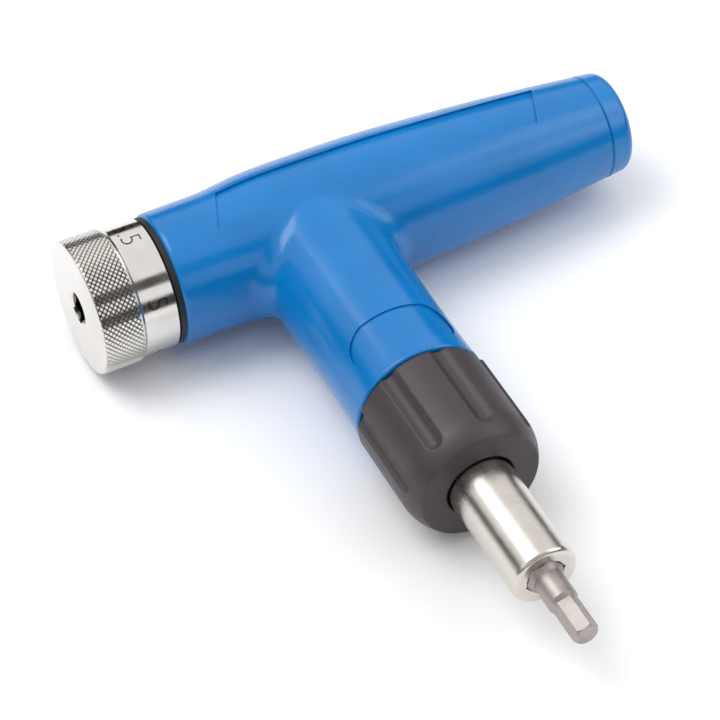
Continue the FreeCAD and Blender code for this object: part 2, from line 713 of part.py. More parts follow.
def dial_knob():
    """Dial with a knurled ring, a number band, a hub and a hex key socket through it."""
    body = new_body("dial_knob")
    face = size.dial_face_at
    knurl_start, knurl_end = face - size.knurl_start_at, face - size.knurl_end_at
    band_start, band_end = face - size.band_start_at, face - size.band_end_at
    bevel = size.band_bevel
    turned(body, [
        (ZERO, ZERO),
        (ZERO, size.dial_face_radius),
        (knurl_start, size.knurl_radius),
        (knurl_end, size.knurl_radius),
        (knurl_end, size.band_groove_radius),
        (band_start, size.band_groove_radius),
        (band_start, size.band_radius - bevel),
        (band_start + bevel, size.band_radius),
        (band_end - bevel, size.band_radius),
        (band_end, size.band_radius - bevel),
        (band_end, size.hub_radius),
        (face - size.hub_end_at, size.hub_radius),
        (face - size.hub_end_at, ZERO),
    ])
    doc.recompute()
    solid = body.Shape.Volume
    key = hexagon(new_sketch(body, "YZ_Plane", out=face - size.hub_end_at), size.key_flats)
    feature(body, "Pocket", key, Type="ThroughAll")
    mouth, depth = size.key_mouth_radius, size.key_mouth_depth
    turned(body, [(ZERO, ZERO), (ZERO, mouth), (depth, mouth - depth), (depth, ZERO)], cut=True)
    expect_less(body, solid)
    on_crossbar(body, "dial_knob", -face)


def dial_seal_ring():
    length = size.band_end_at - size.seal_gap - size.rim_at
    body = stepped("dial_seal_ring", [(length, size.seal_radius)],
                   size.hub_radius + size.seal_gap)
    on_crossbar(body, "dial_seal_ring", -size.rim_at - length)


def cam_outline(sketch):
    """Spiral cam. Its distance to a flat follower falls evenly with the angle turned, so the
    curve is an involute; a chord closes it."""
    fall = size.cam_rise / math.radians(cam_turn())
    high = size.cam_low + size.cam_rise
    points = []
    for step in range(33):
        turn = math.radians(cam_turn()) * step / 32
        reach = high - fall * turn
        points.append(Vector(-reach * math.cos(turn) - fall * math.sin(turn),
                             -reach * math.sin(turn) + fall * math.cos(turn), 0))
    spiral = Part.BSplineCurve()
    spiral.interpolate(points)
    sketch.addGeometry(spiral, False)
    sketch.addGeometry(Part.LineSegment(points[-1], points[0]), False)
    return sketch


def cam_turn():
    """Angle of the dial from the highest setting to the lowest, in degrees."""
    return 360 - 360 / float(size.settings)


def cam_shaft():
    """Hex end, outer journal, click wheel, spiral cam and inner journal, turned in one."""
    body = new_body("cam_shaft")
    start = size.cam_hex_start_at
    flats = size.key_flats - size.face_gap
    hex_end = hexagon(new_sketch(body, "YZ_Plane"), flats)
    feature(body, "Pad", hex_end, Length=start - size.journal_start_at)
    neck = size.cam_low - 2 * size.running_gap - size.cam_neck_relief
    turned(body, [
        (start - size.journal_start_at, ZERO),
        (start - size.journal_start_at, size.journal_radius),
        (start - size.wheel_start_at, size.journal_radius),
        (start - size.wheel_start_at, size.wheel_radius),
        (start - size.wheel_end_at, size.wheel_radius),
        (start - size.wheel_end_at, neck),
        (start, neck),
        (start, size.inner_journal_radius),
        (start + size.inner_journal_end_at, size.inner_journal_radius),
        (start + size.inner_journal_end_at, ZERO),
    ])
    cam = cam_outline(new_sketch(body, "YZ_Plane", out=start - size.cam_half_width))
    feature(body, "Pad", cam, Length=size.cam_half_width * 2)
    doc.recompute()
    solid = body.Shape.Volume
    notch_at = size.wheel_radius + size.notch_radius - size.notch_depth
    notch = circle(new_sketch(body, "YZ_Plane", out=start - size.wheel_end_at),
                   size.notch_radius, up=notch_at)
    cut = feature(body, "Pocket", notch, Length=size.wheel_start_at - size.wheel_end_at)
    expect_less(body, solid)
    pattern(body, [cut], size.settings)
    on_crossbar(body, "cam_shaft", -start)


def camshaft_bushes():
    outer = stepped("camshaft_bush_outer",
                    [(size.outer_bush_start_at - size.outer_bush_end_at, size.shaft_bore_radius)],
                    size.journal_radius + size.running_gap)
    on_crossbar(outer, "camshaft_bush_outer", -size.outer_bush_start_at)
    inner = stepped("camshaft_bush_inner",
                    [(size.inner_bush_end_at - size.shaft_bore_end_at, size.inner_bush_radius)],
                    size.inner_journal_radius + size.running_gap)
    on_crossbar(inner, "camshaft_bush_inner", size.shaft_bore_end_at)


def click_spring():
    """C-shaped band round the click wheel, with a bump for the notches and a tang that keeps
    it from turning. Its own Z runs along the crossbar."""
    outside = size.shaft_bore_radius - size.click_clear
    width = size.click_width
    band = primitive("Cylinder", "click_band_outside", Radius=outside, Height=width)
    hollow = primitive("Cylinder", "click_band_inside", Radius=outside - size.click_band,
                       Height=width)
    opening = primitive("Box", "click_gap", Length=outside * 2, Width=size.click_opening,
                        Height=width)
    shift(opening, y=-size.click_opening / 2)
    bump = primitive("Cylinder", "click_bump", Radius=size.notch_radius - size.click_clear * 2,
                     Height=width)
    shift(bump, y=size.wheel_radius + size.notch_radius - size.notch_depth)
    tang = primitive("Box", "click_tang", Length=size.tang_width,
                     Width=size.tang_height + size.click_band, Height=width)
    shift(tang, x=-size.tang_width / 2, y=-size.shaft_bore_radius - size.tang_height)
    ring = boolean("Cut", "click_ring", Base=band,
                   Tool=boolean("MultiFuse", "click_space", Shapes=[hollow, opening]))
    trimmed = boolean("Common", "click_bump_trimmed", Base=bump, Tool=band)
    whole = boolean("MultiFuse", "click_spring", Shapes=[ring, trimmed, tang])
    finish(whole, "click_spring",
           (-size.wheel_start_at + size.click_side_gap - MIDDLE_X, -MIDDLE_Y,
            size.belly_radius), TO_CROSSBAR)


# ---------------------------------------------------------------- spring and clutch

def spring_seat():
    """Follower of the cam and rear end of the torque spring."""
    top = size.cam_low + size.cam_rise + size.face_gap
    sliding = size.housing_bore_radius - size.slide_gap
    body = stepped("spring_seat", [
        (size.seat_disc_start_at - top, size.seat_neck_radius),
        (size.spring_start_at - top, sliding),
        (size.spring_start_at + size.guide_length - top, size.guide_radius),
    ])
    on_stem(body, "spring_seat", top)


def torque_spring():
    """Coil spring with both ends ground flat."""
    body = new_body("torque_spring")
    length = size.spring_end_at - size.spring_start_at
    wire = size.spring_wire / 2
    profile = circle(new_sketch(body), wire, up=size.spring_radius - wire)
    feature(body, "AdditiveHelix", profile, ReferenceAxis=(profile, ["H_Axis"]),
            Mode="height-turns-angle", Height=length, Turns=size.spring_turns)
    doc.recompute()
    coil = body.Shape.Volume
    outside, inside = size.spring_radius + wire, size.spring_radius - wire * 3
    for start, end in ((-size.spring_wire, ZERO), (length, length + size.spring_wire)):
        turned(body, [(start, inside), (start, outside), (end, outside), (end, inside)],
               cut=True)
    expect_less(body, coil)
    on_stem(body, "torque_spring", size.spring_start_at)


def clutch_housing():
    """Steel sleeve moulded into the stem, with a retaining rib and three keyways."""
    body = new_body("clutch_housing")
    start = size.housing_start_at
    length = size.housing_end_at - start
    bore, outside = size.housing_bore_radius, size.housing_radius
    turned(body, [
        (ZERO, bore),
        (ZERO, outside),
        (size.rib_start_at - start, outside),
        (size.rib_start_at - start, size.rib_radius),
        (size.rib_end_at - start, size.rib_radius),
        (size.rib_end_at - start, outside),
        (length, outside),
        (length, bore),
    ])
    doc.recompute()
    solid = body.Shape.Volume
    half = size.key_width / 2 + size.slide_gap
    reach = size.key_radius + size.slide_gap
    keyway = outline(new_sketch(body, "YZ_Plane", out=length),
                     [(-half, size.flange_radius), (-half, reach), (half, reach),
                      (half, size.flange_radius)])
    cut = feature(body, "Pocket", keyway, Length=size.housing_end_at - size.keyway_start_at)
    expect_less(body, solid)
    pattern(body, [cut], size.key_count)
    on_stem(body, "clutch_housing", start, spin=size.bit_turn)


def ramp_tooth(body, start):
    """One helical ramp: a radial bar that climbs along X by its own height as it sweeps."""
    inner, outer = size.tooth_inner_radius, size.tooth_outer_radius
    bar = outline(new_sketch(body), [(start, inner), (start, outer),
                                     (start + size.tooth_rise, outer),
                                     (start + size.tooth_rise, inner)])
    return feature(body, "AdditiveHelix", bar, ReferenceAxis=(bar, ["H_Axis"]),
                   Mode="height-turns-angle", Height=size.tooth_rise,
                   Turns=size.tooth_ramp / 360, LeftHanded=True)


def ramp_tip(body, start):
    """Flat tip that follows the high end of a ramp."""
    inner, outer = size.tooth_inner_radius, size.tooth_outer_radius
    near = -size.tooth_ramp
    far = near - size.tooth_tip
    tip = outline(new_sketch(body, "YZ_Plane", out=start), [
        (inner * cosine(far), inner * sine(far), inner),
        (inner * cosine(near), inner * sine(near)),
        (outer * cosine(near), outer * sine(near), -outer),
        (outer * cosine(far), outer * sine(far)),
    ])
    return feature(body, "Pad", tip, Length=size.tooth_rise * 2)


def clutch_ring():
    """Ring that slides on keys in the housing and carries the upper helical ramp teeth."""
    body = new_body("clutch_ring")
    start = size.spring_end_at - size.guide_length
    face = size.ring_face_at - start
    sliding = size.housing_bore_radius - size.slide_gap
    bore = size.pilot_radius + size.slide_gap
    pilot_hole = size.pilot_start_at - size.tooth_rise - start
    turned(body, [
        (ZERO, ZERO),
        (ZERO, size.guide_radius),
        (size.guide_length, size.guide_radius),
        (size.guide_length, sliding),
        (face, sliding),
        (face, bore),
        (pilot_hole, bore),
        (pilot_hole, ZERO),
    ])
    half = size.key_width / 2
    key = outline(new_sketch(body, "YZ_Plane", out=face),
                  [(-half, size.flange_radius), (-half, size.key_radius),
                   (half, size.key_radius), (half, size.flange_radius)])
    key_pad = feature(body, "Pad", key, Length=face - size.guide_length, Reversed=True)
    pattern(body, [key_pad], size.key_count)
    ramp = ramp_tooth(body, face - size.tooth_rise)
    tip = ramp_tip(body, face - size.tooth_rise)
    pattern(body, [ramp, tip], size.tooth_count)
    on_stem(body, "clutch_ring", start, spin=size.bit_turn)


def spindle():
    """Pilot, toothed flange, journal and the neck that carries the bit holder."""
    body = new_body("spindle")
    start = size.pilot_start_at
    root = size.ring_face_at + size.face_gap + size.tooth_rise - start
    turned(body, [
        (ZERO, ZERO),
        (ZERO, size.pilot_radius),
        (root, size.pilot_radius),
        (root, size.flange_radius),
        (size.flange_end_at - start, size.flange_radius),
        (size.flange_end_at - start, size.spindle_radius),
        (size.spindle_shoulder_at - start, size.spindle_radius),
        (size.spindle_shoulder_at - start, size.spindle_neck_radius),
        (size.spindle_end_at - start, size.spindle_neck_radius),
        (size.spindle_end_at - start, ZERO),
    ])
    ramp = ramp_tooth(body, root - size.tooth_rise)
    pattern(body, [ramp], size.tooth_count)
    doc.recompute()
    solid = body.Shape.Volume
    hole = circle(new_sketch(body), size.pin_radius, across=size.pin_at - start)
    feature(body, "Pocket", hole, Type="ThroughAll", Midplane=True)
    expect_less(body, solid)
    on_stem(body, "spindle", start, spin=size.bit_turn)


def bearings():
    """Thrust washer and plain bush of the spindle."""
    washer_start = size.flange_end_at + size.face_gap
    washer = stepped("thrust_washer", [(size.washer_end_at - washer_start,
                                        size.housing_bore_radius - size.slide_gap)],
                     size.spindle_radius + size.slide_gap)
    on_stem(washer, "thrust_washer", washer_start)
    bush = stepped("spindle_bush", [(size.bush_end_at - size.washer_end_at,
                                     size.housing_bore_radius)],
                   size.spindle_radius + size.running_gap)
    on_stem(bush, "spindle_bush", size.washer_end_at)


# ---------------------------------------------------------------- nose

def nose_collar():
    """Collar screwed on the housing, with eight flutes cut by a round-ended cutter."""
    body = new_body("nose_collar")
    start = size.collar_spigot_start_at
    back, shoulder = size.collar_start_at - start, size.collar_shoulder_at - start
    front = size.collar_front_at - start
    fall = size.collar_radius - size.collar_face_radius
    bore_end, wall = size.housing_end_at - start, size.collar_wall_at - start
    bevel = size.collar_edge_bevel
    turned(body, [
        (ZERO, size.housing_radius),
        (ZERO, size.collar_spigot_radius),
        (back, size.collar_spigot_radius),
        (back, size.collar_radius - bevel),
        (back + bevel, size.collar_radius),
        (shoulder, size.collar_radius, tangent_radius(front - shoulder, fall)),
        (front, size.collar_face_radius),
        (front, size.collar_hole_radius),
        (wall, size.collar_hole_radius),
        (wall, size.collar_cavity_radius),
        (bore_end, size.collar_cavity_radius),
        (bore_end, size.housing_radius),
    ])
    doc.recompute()
    solid = body.Shape.Volume
    cutter, stop = size.flute_cutter, size.flute_end_at - start
    middle = new_sketch(body, up=size.collar_radius - size.flute_depth + cutter)
    flute = turned(body, [(back - cutter, ZERO), (back - cutter, cutter),
                          (stop, cutter, cutter), (stop + cutter, ZERO)],
                   cut=True, sketch=middle)
    expect_less(body, solid)
    pattern(body, [flute], size.flute_count)
    on_stem(body, "nose_collar", start, spin=90 - size.flute_turn)


def bit_holder():
    """Sleeve with a hex socket, a magnet pocket, a ring groove and a bore for the spindle."""
    body = new_body("bit_holder")
    start = size.holder_start_at
    front = size.holder_front_at - start
    socket_end = front - size.socket_depth
    turned(body, [
        (ZERO, size.spindle_neck_radius),
        (ZERO, size.holder_tail_radius),
        (size.holder_tail_end_at - start, size.holder_tail_radius),
        (size.holder_tail_end_at - start, size.holder_radius),
        (front, size.holder_radius),
        (front, ZERO),
        (size.holder_bore_end_at - start, ZERO),
        (size.holder_bore_end_at - start, size.spindle_neck_radius),
    ])
    dress(body, "Fillet", rings(body, size.holder_radius, front), size.holder_round)
    doc.recompute()
    solid = body.Shape.Volume
    socket = hexagon(new_sketch(body, "YZ_Plane", out=front), size.socket_flats)
    feature(body, "Pocket", socket, Length=size.socket_depth)
    magnet_end = socket_end - size.magnet_length
    magnet = size.magnet_radius + size.face_gap
    turned(body, [(magnet_end, ZERO), (magnet_end, magnet), (socket_end, magnet),
                  (socket_end, ZERO)], cut=True)
    mouth = size.socket_mouth_radius
    turned(body, [(front - mouth / 2, ZERO), (front - mouth / 2, mouth / 2), (front, mouth),
                  (front, ZERO)], cut=True)
    groove, half = size.snap_at - start, size.snap_wire / 2 + size.face_gap
    turned(body, [(groove - half, ZERO), (groove - half, size.snap_radius + half),
                  (groove + half, size.snap_radius + half), (groove + half, ZERO)], cut=True)
    hole = circle(new_sketch(body), size.pin_radius, across=size.pin_at - start)
    feature(body, "Pocket", hole, Type="ThroughAll", Midplane=True)
    expect_less(body, solid)
    on_stem(body, "bit_holder", start, spin=size.bit_turn)


def holder_inner_pieces():
    """Magnet, cross pin and the open ring that grips the bit."""
    socket_end = size.holder_front_at - size.socket_depth
    magnet = stepped("holder_magnet", [(size.magnet_length, size.magnet_radius)])
    on_stem(magnet, "holder_magnet", socket_end - size.magnet_length)
    pin = primitive("Cylinder", "holder_pin", Radius=size.pin_radius,
                    Height=size.holder_tail_radius * 2 - size.pin_radius)
    turn = Rotation(Vector(0, 1, 0), -float(size.bit_turn))
    half = size.holder_tail_radius - size.pin_radius / 2
    finish(pin, "holder_pin", (-MIDDLE_X + half * sine(size.bit_turn),
                               -size.pin_at - MIDDLE_Y,
                               size.belly_radius - half * cosine(size.bit_turn)), turn)
    ring = open_ring("bit_retaining_ring", size.snap_radius, size.snap_wire,
                     size.snap_opening)
    finish(ring, "bit_retaining_ring",
           (-MIDDLE_X, -size.snap_at - MIDDLE_Y, size.belly_radius), DOWN_STEM)


def open_ring(name, radius, wire, opening):
    """Wire ring with an opening, its axis along its own Z."""
    covered = 360 - opening / radius * (180 / math.pi)
    return primitive("Torus", name, Radius1=radius, Radius2=wire / 2, Angle3=covered)


# ---------------------------------------------------------------- bits and their store

def bit_blank(name, tip_radius):
    """Hex shank, cone and turned neck of a bit; the drive tip goes on its end."""
    body = new_body(name)
    shank, bevel = size.shank_length, size.shank_bevel
    corner = size.shank_flats / CORNERS_TO_FLATS
    hexagonal = hexagon(new_sketch(body, "YZ_Plane"), size.shank_flats)
    feature(body, "Pad", hexagonal, Length=shank)
    turned(body, [(ZERO, corner - bevel), (ZERO, corner), (bevel, corner)], cut=True)
    turned(body, [(shank - bevel, corner), (shank, corner), (shank, corner - bevel)], cut=True)
    tip_start = size.bit_length - size.tip_length
    cone = size.neck_cone
    turned(body, [(shank, ZERO), (shank, size.shank_flats / 2),
                  (shank + cone, size.neck_radius), (tip_start - cone, size.neck_radius),
                  (tip_start, tip_radius), (tip_start, ZERO)])
    return body


def hex_bit(name, flats):
    corner, bevel = flats / CORNERS_TO_FLATS, size.tip_bevel
    body = bit_blank(name, flats / 2)
    end = size.bit_length
    tip = hexagon(new_sketch(body, "YZ_Plane", out=end), flats)
    feature(body, "Pad", tip, Length=size.tip_length, Reversed=True)
    turned(body, [(end - bevel, corner), (end, corner), (end, corner - bevel)], cut=True)
    return body


def star_bit(name):
    body = bit_blank(name, size.star_radius - size.tip_bevel)
    end = size.bit_length
    tip = circle(new_sketch(body, "YZ_Plane", out=end), size.star_radius)
    feature(body, "Pad", tip, Length=size.tip_length, Reversed=True)
    doc.recompute()
    solid = body.Shape.Volume
    hollow = circle(new_sketch(body, "YZ_Plane", out=end), size.star_groove,
                    up=size.star_groove_at)
    cut = feature(body, "Pocket", hollow, Length=size.tip_length)
    expect_less(body, solid)
    pattern(body, [cut], Size(6))
    return body


def bits():
    main = hex_bit("drive_bit", size.main_tip_flats)
    on_stem(main, "drive_bit", size.bit_tip_at - size.bit_length, spin=size.bit_turn)
    spares = [
        hex_bit("spare_hex_bit_3mm", size.small_tip_flats),
        hex_bit("spare_hex_bit_5mm", size.large_tip_flats),
        star_bit("spare_star_bit"),
    ]
    rest = size.store_end_at + size.store_magnet_length + size.face_gap * 2
    for number, spare in enumerate(spares):
        angle = Size(90 + number * 360 / len(spares))
        place = (rest - MIDDLE_X, size.rack_pitch_radius * cosine(angle) - MIDDLE_Y,
                 size.rack_pitch_radius * sine(angle) + size.belly_radius)
        finish(spare, spare.Name, place)


def bit_rack():
    """Round block with three hex holes, and the disc magnet behind it."""
    body = new_body("bit_rack")
    start = size.store_end_at + size.store_magnet_length + size.face_gap
    length = size.rack_end_at - start
    turned(body, [(ZERO, ZERO), (ZERO, size.store_radius - size.rack_gap),
                  (length, size.store_radius - size.rack_gap), (length, ZERO)])
    doc.recompute()
    solid = body.Shape.Volume
    hole = hexagon(new_sketch(body, "YZ_Plane", up=size.rack_pitch_radius, out=length),
                   size.socket_flats)
    cut = feature(body, "Pocket", hole, Type="ThroughAll")
    expect_less(body, solid)
    pattern(body, [cut], Size(3))
    on_crossbar(body, "bit_rack", start)
    magnet = stepped("rack_magnet", [(size.store_magnet_length,
                                      size.store_radius - size.rack_gap * 2)])
    on_crossbar(magnet, "rack_magnet", size.store_end_at)


def end_cap():
    body = new_body("end_cap")
    start = size.cap_spigot_start_at
    joint, end = size.cap_joint_at + size.face_gap - start, size.cap_end_at - start
    groove, half = size.ring_groove_at - start, size.ring_groove_half_width
    turned(body, [
        (size.cap_dish_depth, ZERO),
        (size.cap_dish_depth, size.cap_dish_radius),
        (ZERO, size.cap_dish_radius),
        (ZERO, size.cap_spigot_radius),
        (groove - half, size.cap_spigot_radius),
        (groove - half, size.ring_groove_radius),
        (groove + half, size.ring_groove_radius),
        (groove + half, size.cap_spigot_radius),
        (joint, size.cap_spigot_radius),
        (joint, size.cap_joint_radius - size.joint_chamfer),
        (joint + size.joint_chamfer, size.cap_joint_radius),
        (end, size.cap_end_radius),
        (end, ZERO),
    ])
    dress(body, "Fillet", rings(body, size.cap_end_radius, end), size.cap_round)
    on_crossbar(body, "end_cap", start)
    ring = primitive("Torus", "cap_o_ring", Radius1=size.ring_middle_radius,
                     Radius2=size.ring_wire / 2)
    finish(ring, "cap_o_ring", (size.ring_groove_at - MIDDLE_X, -MIDDLE_Y,
                                size.belly_radius), TO_CROSSBAR)


# ---------------------------------------------------------------- build, check, write

def check(things):
    doc.recompute()
    failed = [each.Name for each in doc.Objects
              if "Invalid" in each.State or "Error" in each.State]
    if failed:
        raise ValueError(f"failed objects: {failed}")
    for thing in things:
        shape = thing.Shape
        if shape.isNull() or not shape.isValid() or len(shape.Solids) != 1:
            raise ValueError(f"{thing.Label}: not one valid solid")


handle()
dial_knob()
dial_seal_ring()
cam_shaft()
camshaft_bushes()
click_spring()
spring_seat()
torque_spring()
clutch_housing()
clutch_ring()
spindle()
bearings()
nose_collar()
bit_holder()
holder_inner_pieces()
bits()
bit_rack()
end_cap()
check(pieces)

os.makedirs("parts", exist_ok=True)
for piece in pieces:
    piece.Shape.exportStep(f"parts/{piece.Label}.step")
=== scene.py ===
import json
import math

import bmesh
import bpy
from mathutils import Matrix, Vector


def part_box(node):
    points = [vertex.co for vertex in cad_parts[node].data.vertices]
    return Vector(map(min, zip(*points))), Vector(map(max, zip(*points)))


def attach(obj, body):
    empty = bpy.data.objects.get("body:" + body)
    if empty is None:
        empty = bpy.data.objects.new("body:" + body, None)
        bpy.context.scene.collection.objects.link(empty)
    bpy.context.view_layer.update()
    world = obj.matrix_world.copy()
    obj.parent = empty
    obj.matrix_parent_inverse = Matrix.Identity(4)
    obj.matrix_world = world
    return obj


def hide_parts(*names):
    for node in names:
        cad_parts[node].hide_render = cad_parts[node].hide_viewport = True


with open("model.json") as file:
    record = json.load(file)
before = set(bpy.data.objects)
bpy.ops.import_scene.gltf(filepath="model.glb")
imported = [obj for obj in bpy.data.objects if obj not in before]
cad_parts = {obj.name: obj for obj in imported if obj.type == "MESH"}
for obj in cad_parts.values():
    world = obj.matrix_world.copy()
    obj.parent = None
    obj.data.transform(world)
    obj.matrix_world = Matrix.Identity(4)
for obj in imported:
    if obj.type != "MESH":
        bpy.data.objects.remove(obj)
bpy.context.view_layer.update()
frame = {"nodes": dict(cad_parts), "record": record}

MM = 0.001
MICRON = 0.000001

# ---------------------------------------------------------------- places and sizes
# Lengths are in millimetres from the crossing of the crossbar's and the stem's axes:
# X towards the end cap, Y towards the back of the crossbar, Z up.

BELLY_RADIUS = 13.25
DIAL_FACE_AT = -42.9
CROSSING = Vector((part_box("dial_knob")[0].x - DIAL_FACE_AT * MM,
                   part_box("handle")[1].y - BELLY_RADIUS * MM,
                   BELLY_RADIUS * MM))
AXIS_AT = tuple(CROSSING)
ALONG_CROSSBAR, DOWN_STEM = (1.0, 0.0, 0.0), (0.0, 1.0, 0.0)

# Dial blank
DIAL_SIDES = 360
FACE_RING_RADIUS = 9.6
EDGE_ROUND = 0.45
EDGE_STEPS = 6
GROOVE_RADIUS = 11.4
BAND_START_AT = -35.25
BAND_RADIUS = 11.8
BAND_END_AT = -28.6
BAND_BEVEL = 0.3
HUB_RADIUS = 8.5
HUB_END_AT = -22.6

# Knurl: diamonds between staggered grooves, cut inwards from the blank's radius
KNURL_RADIUS = 12.2
KNURL_END_AT = -35.6
KNURL_BEVEL = (0.18, 0.2)
KNURL_DEPTH = 0.28
KNURL_COLUMNS = 72
KNURL_PITCH = 0.95
KNURL_TOP_SHARE = 0.66
KNURL_SPARE_ROWS = 5
KNURL_JOIN = 0.02

# Hex key socket through the dial
KEY_FLATS = 5.0
KEY_MOUTH_RADIUS = 3.15
KEY_MOUTH_POINT = 0.5

# Engraved numbers, each with the angle of its middle from the top towards the bit
DIAL_NUMBERS = {"6": -82.0, "5.5": -10.0, "5": 62.0, "4.5": 134.0, "4": 206.0}
DIGIT_HEIGHT = 3.5
DIGIT_BASE_AT = -33.8
DIGIT_THINNING = -0.018
DIGIT_CURVE_STEPS = 6
DIGIT_BEND_STEP = 0.3
ENGRAVING_DEPTH = 0.22

# How far cutting tools stand out of the dial, and the sides of the round ones
TOOL_CLEARANCE = 1.0
SLEEVE_LEAD = 0.5
SLEEVE_PAST_GROOVE = 0.12
DIGIT_CLEARANCE = 0.4
TOOL_SIDES = 96

# Painted shade in hollows: the radii between which it fades out, and where it starts and ends
KNURL_PAINTED_SHADE = ((KNURL_RADIUS - KNURL_DEPTH, KNURL_RADIUS - 0.1),
              (DIAL_FACE_AT + 0.25, KNURL_END_AT - 0.1))
NUMBER_PAINTED_SHADE = ((BAND_RADIUS - ENGRAVING_DEPTH, BAND_RADIUS - 0.03),
               (BAND_START_AT + 1.0, BAND_END_AT - 1.0))

# Shading of the dial: the sharpest bend that stays smooth, and what counts as number band
SMOOTH_UP_TO = 24
BAND_TOLERANCE = 0.02
BAND_FACING = 0.999

# ---------------------------------------------------------------- room and camera
# The world's horizon is dark up to a height where the white dome starts. A dark card hangs
# in front, with soft lower, upper and side edges. Heights are parts of a sphere of radius 1.
HORIZON_LEVEL = 0.04
HORIZON_TO = (0.27, 0.36)
CARD_LOWER_EDGE = (0.60, 0.63)
CARD_UPPER_EDGE = (0.80, 0.83)
CARD_SIDE_EDGE = (-0.40, -0.30)
CARD_SHARE = 0.92

FLOOR_REACH = 2.5
FLOOR_DROP = 0.00005
FLOOR_COLOUR = (0.97, 0.97, 0.98, 1.0)

# Name, place in metres, size and power of each lamp
LAMPS = (("key_light", (-0.35, 0.25, 0.75), 0.5, 3.0),
         ("fill_light", (0.6, -0.3, 0.6), 0.6, 1.5))

CAMERA_AT = (-161.954, -352.617, 376.0)
CAMERA_RIGHT = Vector((0.893221, -0.449532, -0.008828))
CAMERA_DOWN = Vector((-0.331939, -0.646067, -0.687324))
CAMERA_FORWARD = Vector((0.30327, 0.616862, -0.726298))
CAMERA_LENS, CAMERA_SENSOR = 151.885, 36.0
CAMERA_RANGE = (0.01, 10.0)


def place(x, y, z):
    """A point in metres from millimetres measured from the crossing."""
    return CROSSING + Vector((x, y, z)) * MM


def on_dial(x, radius, angle):
    """A point round the crossbar's axis; the angle in degrees runs from the top to the bit."""
    turn = math.radians(angle)
    return place(x, -radius * math.sin(turn), radius * math.cos(turn))


# ---------------------------------------------------------------- shader building blocks

def add_node(tree, kind, **settings):
    made = tree.nodes.new(kind)
    for name, value in settings.items():
        setattr(made, name, value)
    return made


def feed(tree, target, source):
    """Links an output into an input, or writes a plain value there."""
    if isinstance(source, bpy.types.NodeSocket):
        tree.links.new(source, target)
    else:
        target.default_value = source


def math_node(tree, operation, *values):
    made = add_node(tree, "ShaderNodeMath", operation=operation)
    for slot, value in enumerate(values):
        feed(tree, made.inputs[slot], value)
    return made.outputs[0]


def vector_node(tree, operation, first, second):
    made = add_node(tree, "ShaderNodeVectorMath", operation=operation)
    feed(tree, made.inputs[0], first)
    feed(tree, made.inputs[1], second)
    return made.outputs


def ramp(tree, value, edges, results=(0.0, 1.0)):
    """Goes softly from the first to the second result between the two edges."""
    made = add_node(tree, "ShaderNodeMapRange", interpolation_type="SMOOTHSTEP")
    for slot, number in enumerate((value, *edges, *results)):
        feed(tree, made.inputs[slot], number)
    return made.outputs["Result"]


def noise(tree, vector, scale, detail, roughness):
    made = add_node(tree, "ShaderNodeTexNoise")
    feed(tree, made.inputs["Vector"], vector)
    feed(tree, made.inputs["Scale"], scale)
    made.inputs["Detail"].default_value = detail
    made.inputs["Roughness"].default_value = roughness
    return made.outputs["Fac"]


def object_position(tree):
    return add_node(tree, "ShaderNodeTexCoord").outputs["Object"]


def blend_colour(tree, amount, first, second):
    made = add_node(tree, "ShaderNodeMix", data_type="RGBA")
    feed(tree, made.inputs[0], amount)
    feed(tree, made.inputs[6], first)
    feed(tree, made.inputs[7], second)
    return made.outputs[2]


def bump(tree, height, distance, under=None):
    made = add_node(tree, "ShaderNodeBump")
    made.inputs["Strength"].default_value = 1.0
    made.inputs["Distance"].default_value = distance
    feed(tree, made.inputs["Height"], height)
    if under is not None:
        feed(tree, made.inputs["Normal"], under)
    return made.outputs["Normal"]


def colour(red, green, blue):
    """A colour from sRGB numbers of 0 to 255."""
    def linear(value):
        value /= 255
        return value / 12.92 if value <= 0.04045 else ((value + 0.055) / 1.055) ** 2.4
    return (linear(red), linear(green), linear(blue), 1.0)


def toned(base, factor):
    """A darker or brighter shade of a colour."""
    return [min(1.0, channel * factor) for channel in base[:3]] + [1.0]


# ---------------------------------------------------------------- effects as node groups

FLOAT, VECTOR = "NodeSocketFloat", "NodeSocketVector"


def new_group(name, inputs, outputs):
    """A node group with named sockets; returns the tree, its input and its output node."""
    tree = bpy.data.node_groups.new(name, "ShaderNodeTree")
    for socket, kind, value in inputs:
        made = tree.interface.new_socket(socket, in_out="INPUT", socket_type=kind)
        if value is not None:
            made.default_value = value
    for socket in outputs:
        tree.interface.new_socket(socket, in_out="OUTPUT", socket_type=FLOAT)
    return tree, add_node(tree, "NodeGroupInput"), add_node(tree, "NodeGroupOutput")


def make_grain_group():
    """Fine and coarse unevenness of a surface: a height for bump and a slow variation."""
    slow_tone = (0.3, 0.7)
    tree, given, result = new_group(
        "surface grain",
        [("Fine Scale", FLOAT, 6000.0), ("Coarse Scale", FLOAT, 120.0),
         ("Fine Share", FLOAT, 0.6)],
        ["Height", "Variation"])
    position = object_position(tree)
    fine = noise(tree, position, given.outputs["Fine Scale"], 3.0, 0.55)
    coarse = noise(tree, position, given.outputs["Coarse Scale"], 2.0, 0.5)
    share = given.outputs["Fine Share"]
    rest = math_node(tree, "SUBTRACT", 1.0, share)
    height = math_node(tree, "ADD", math_node(tree, "MULTIPLY", fine, share),
                       math_node(tree, "MULTIPLY", coarse, rest))
    feed(tree, result.inputs["Height"], height)
    feed(tree, result.inputs["Variation"], ramp(tree, coarse, slow_tone))
    return tree


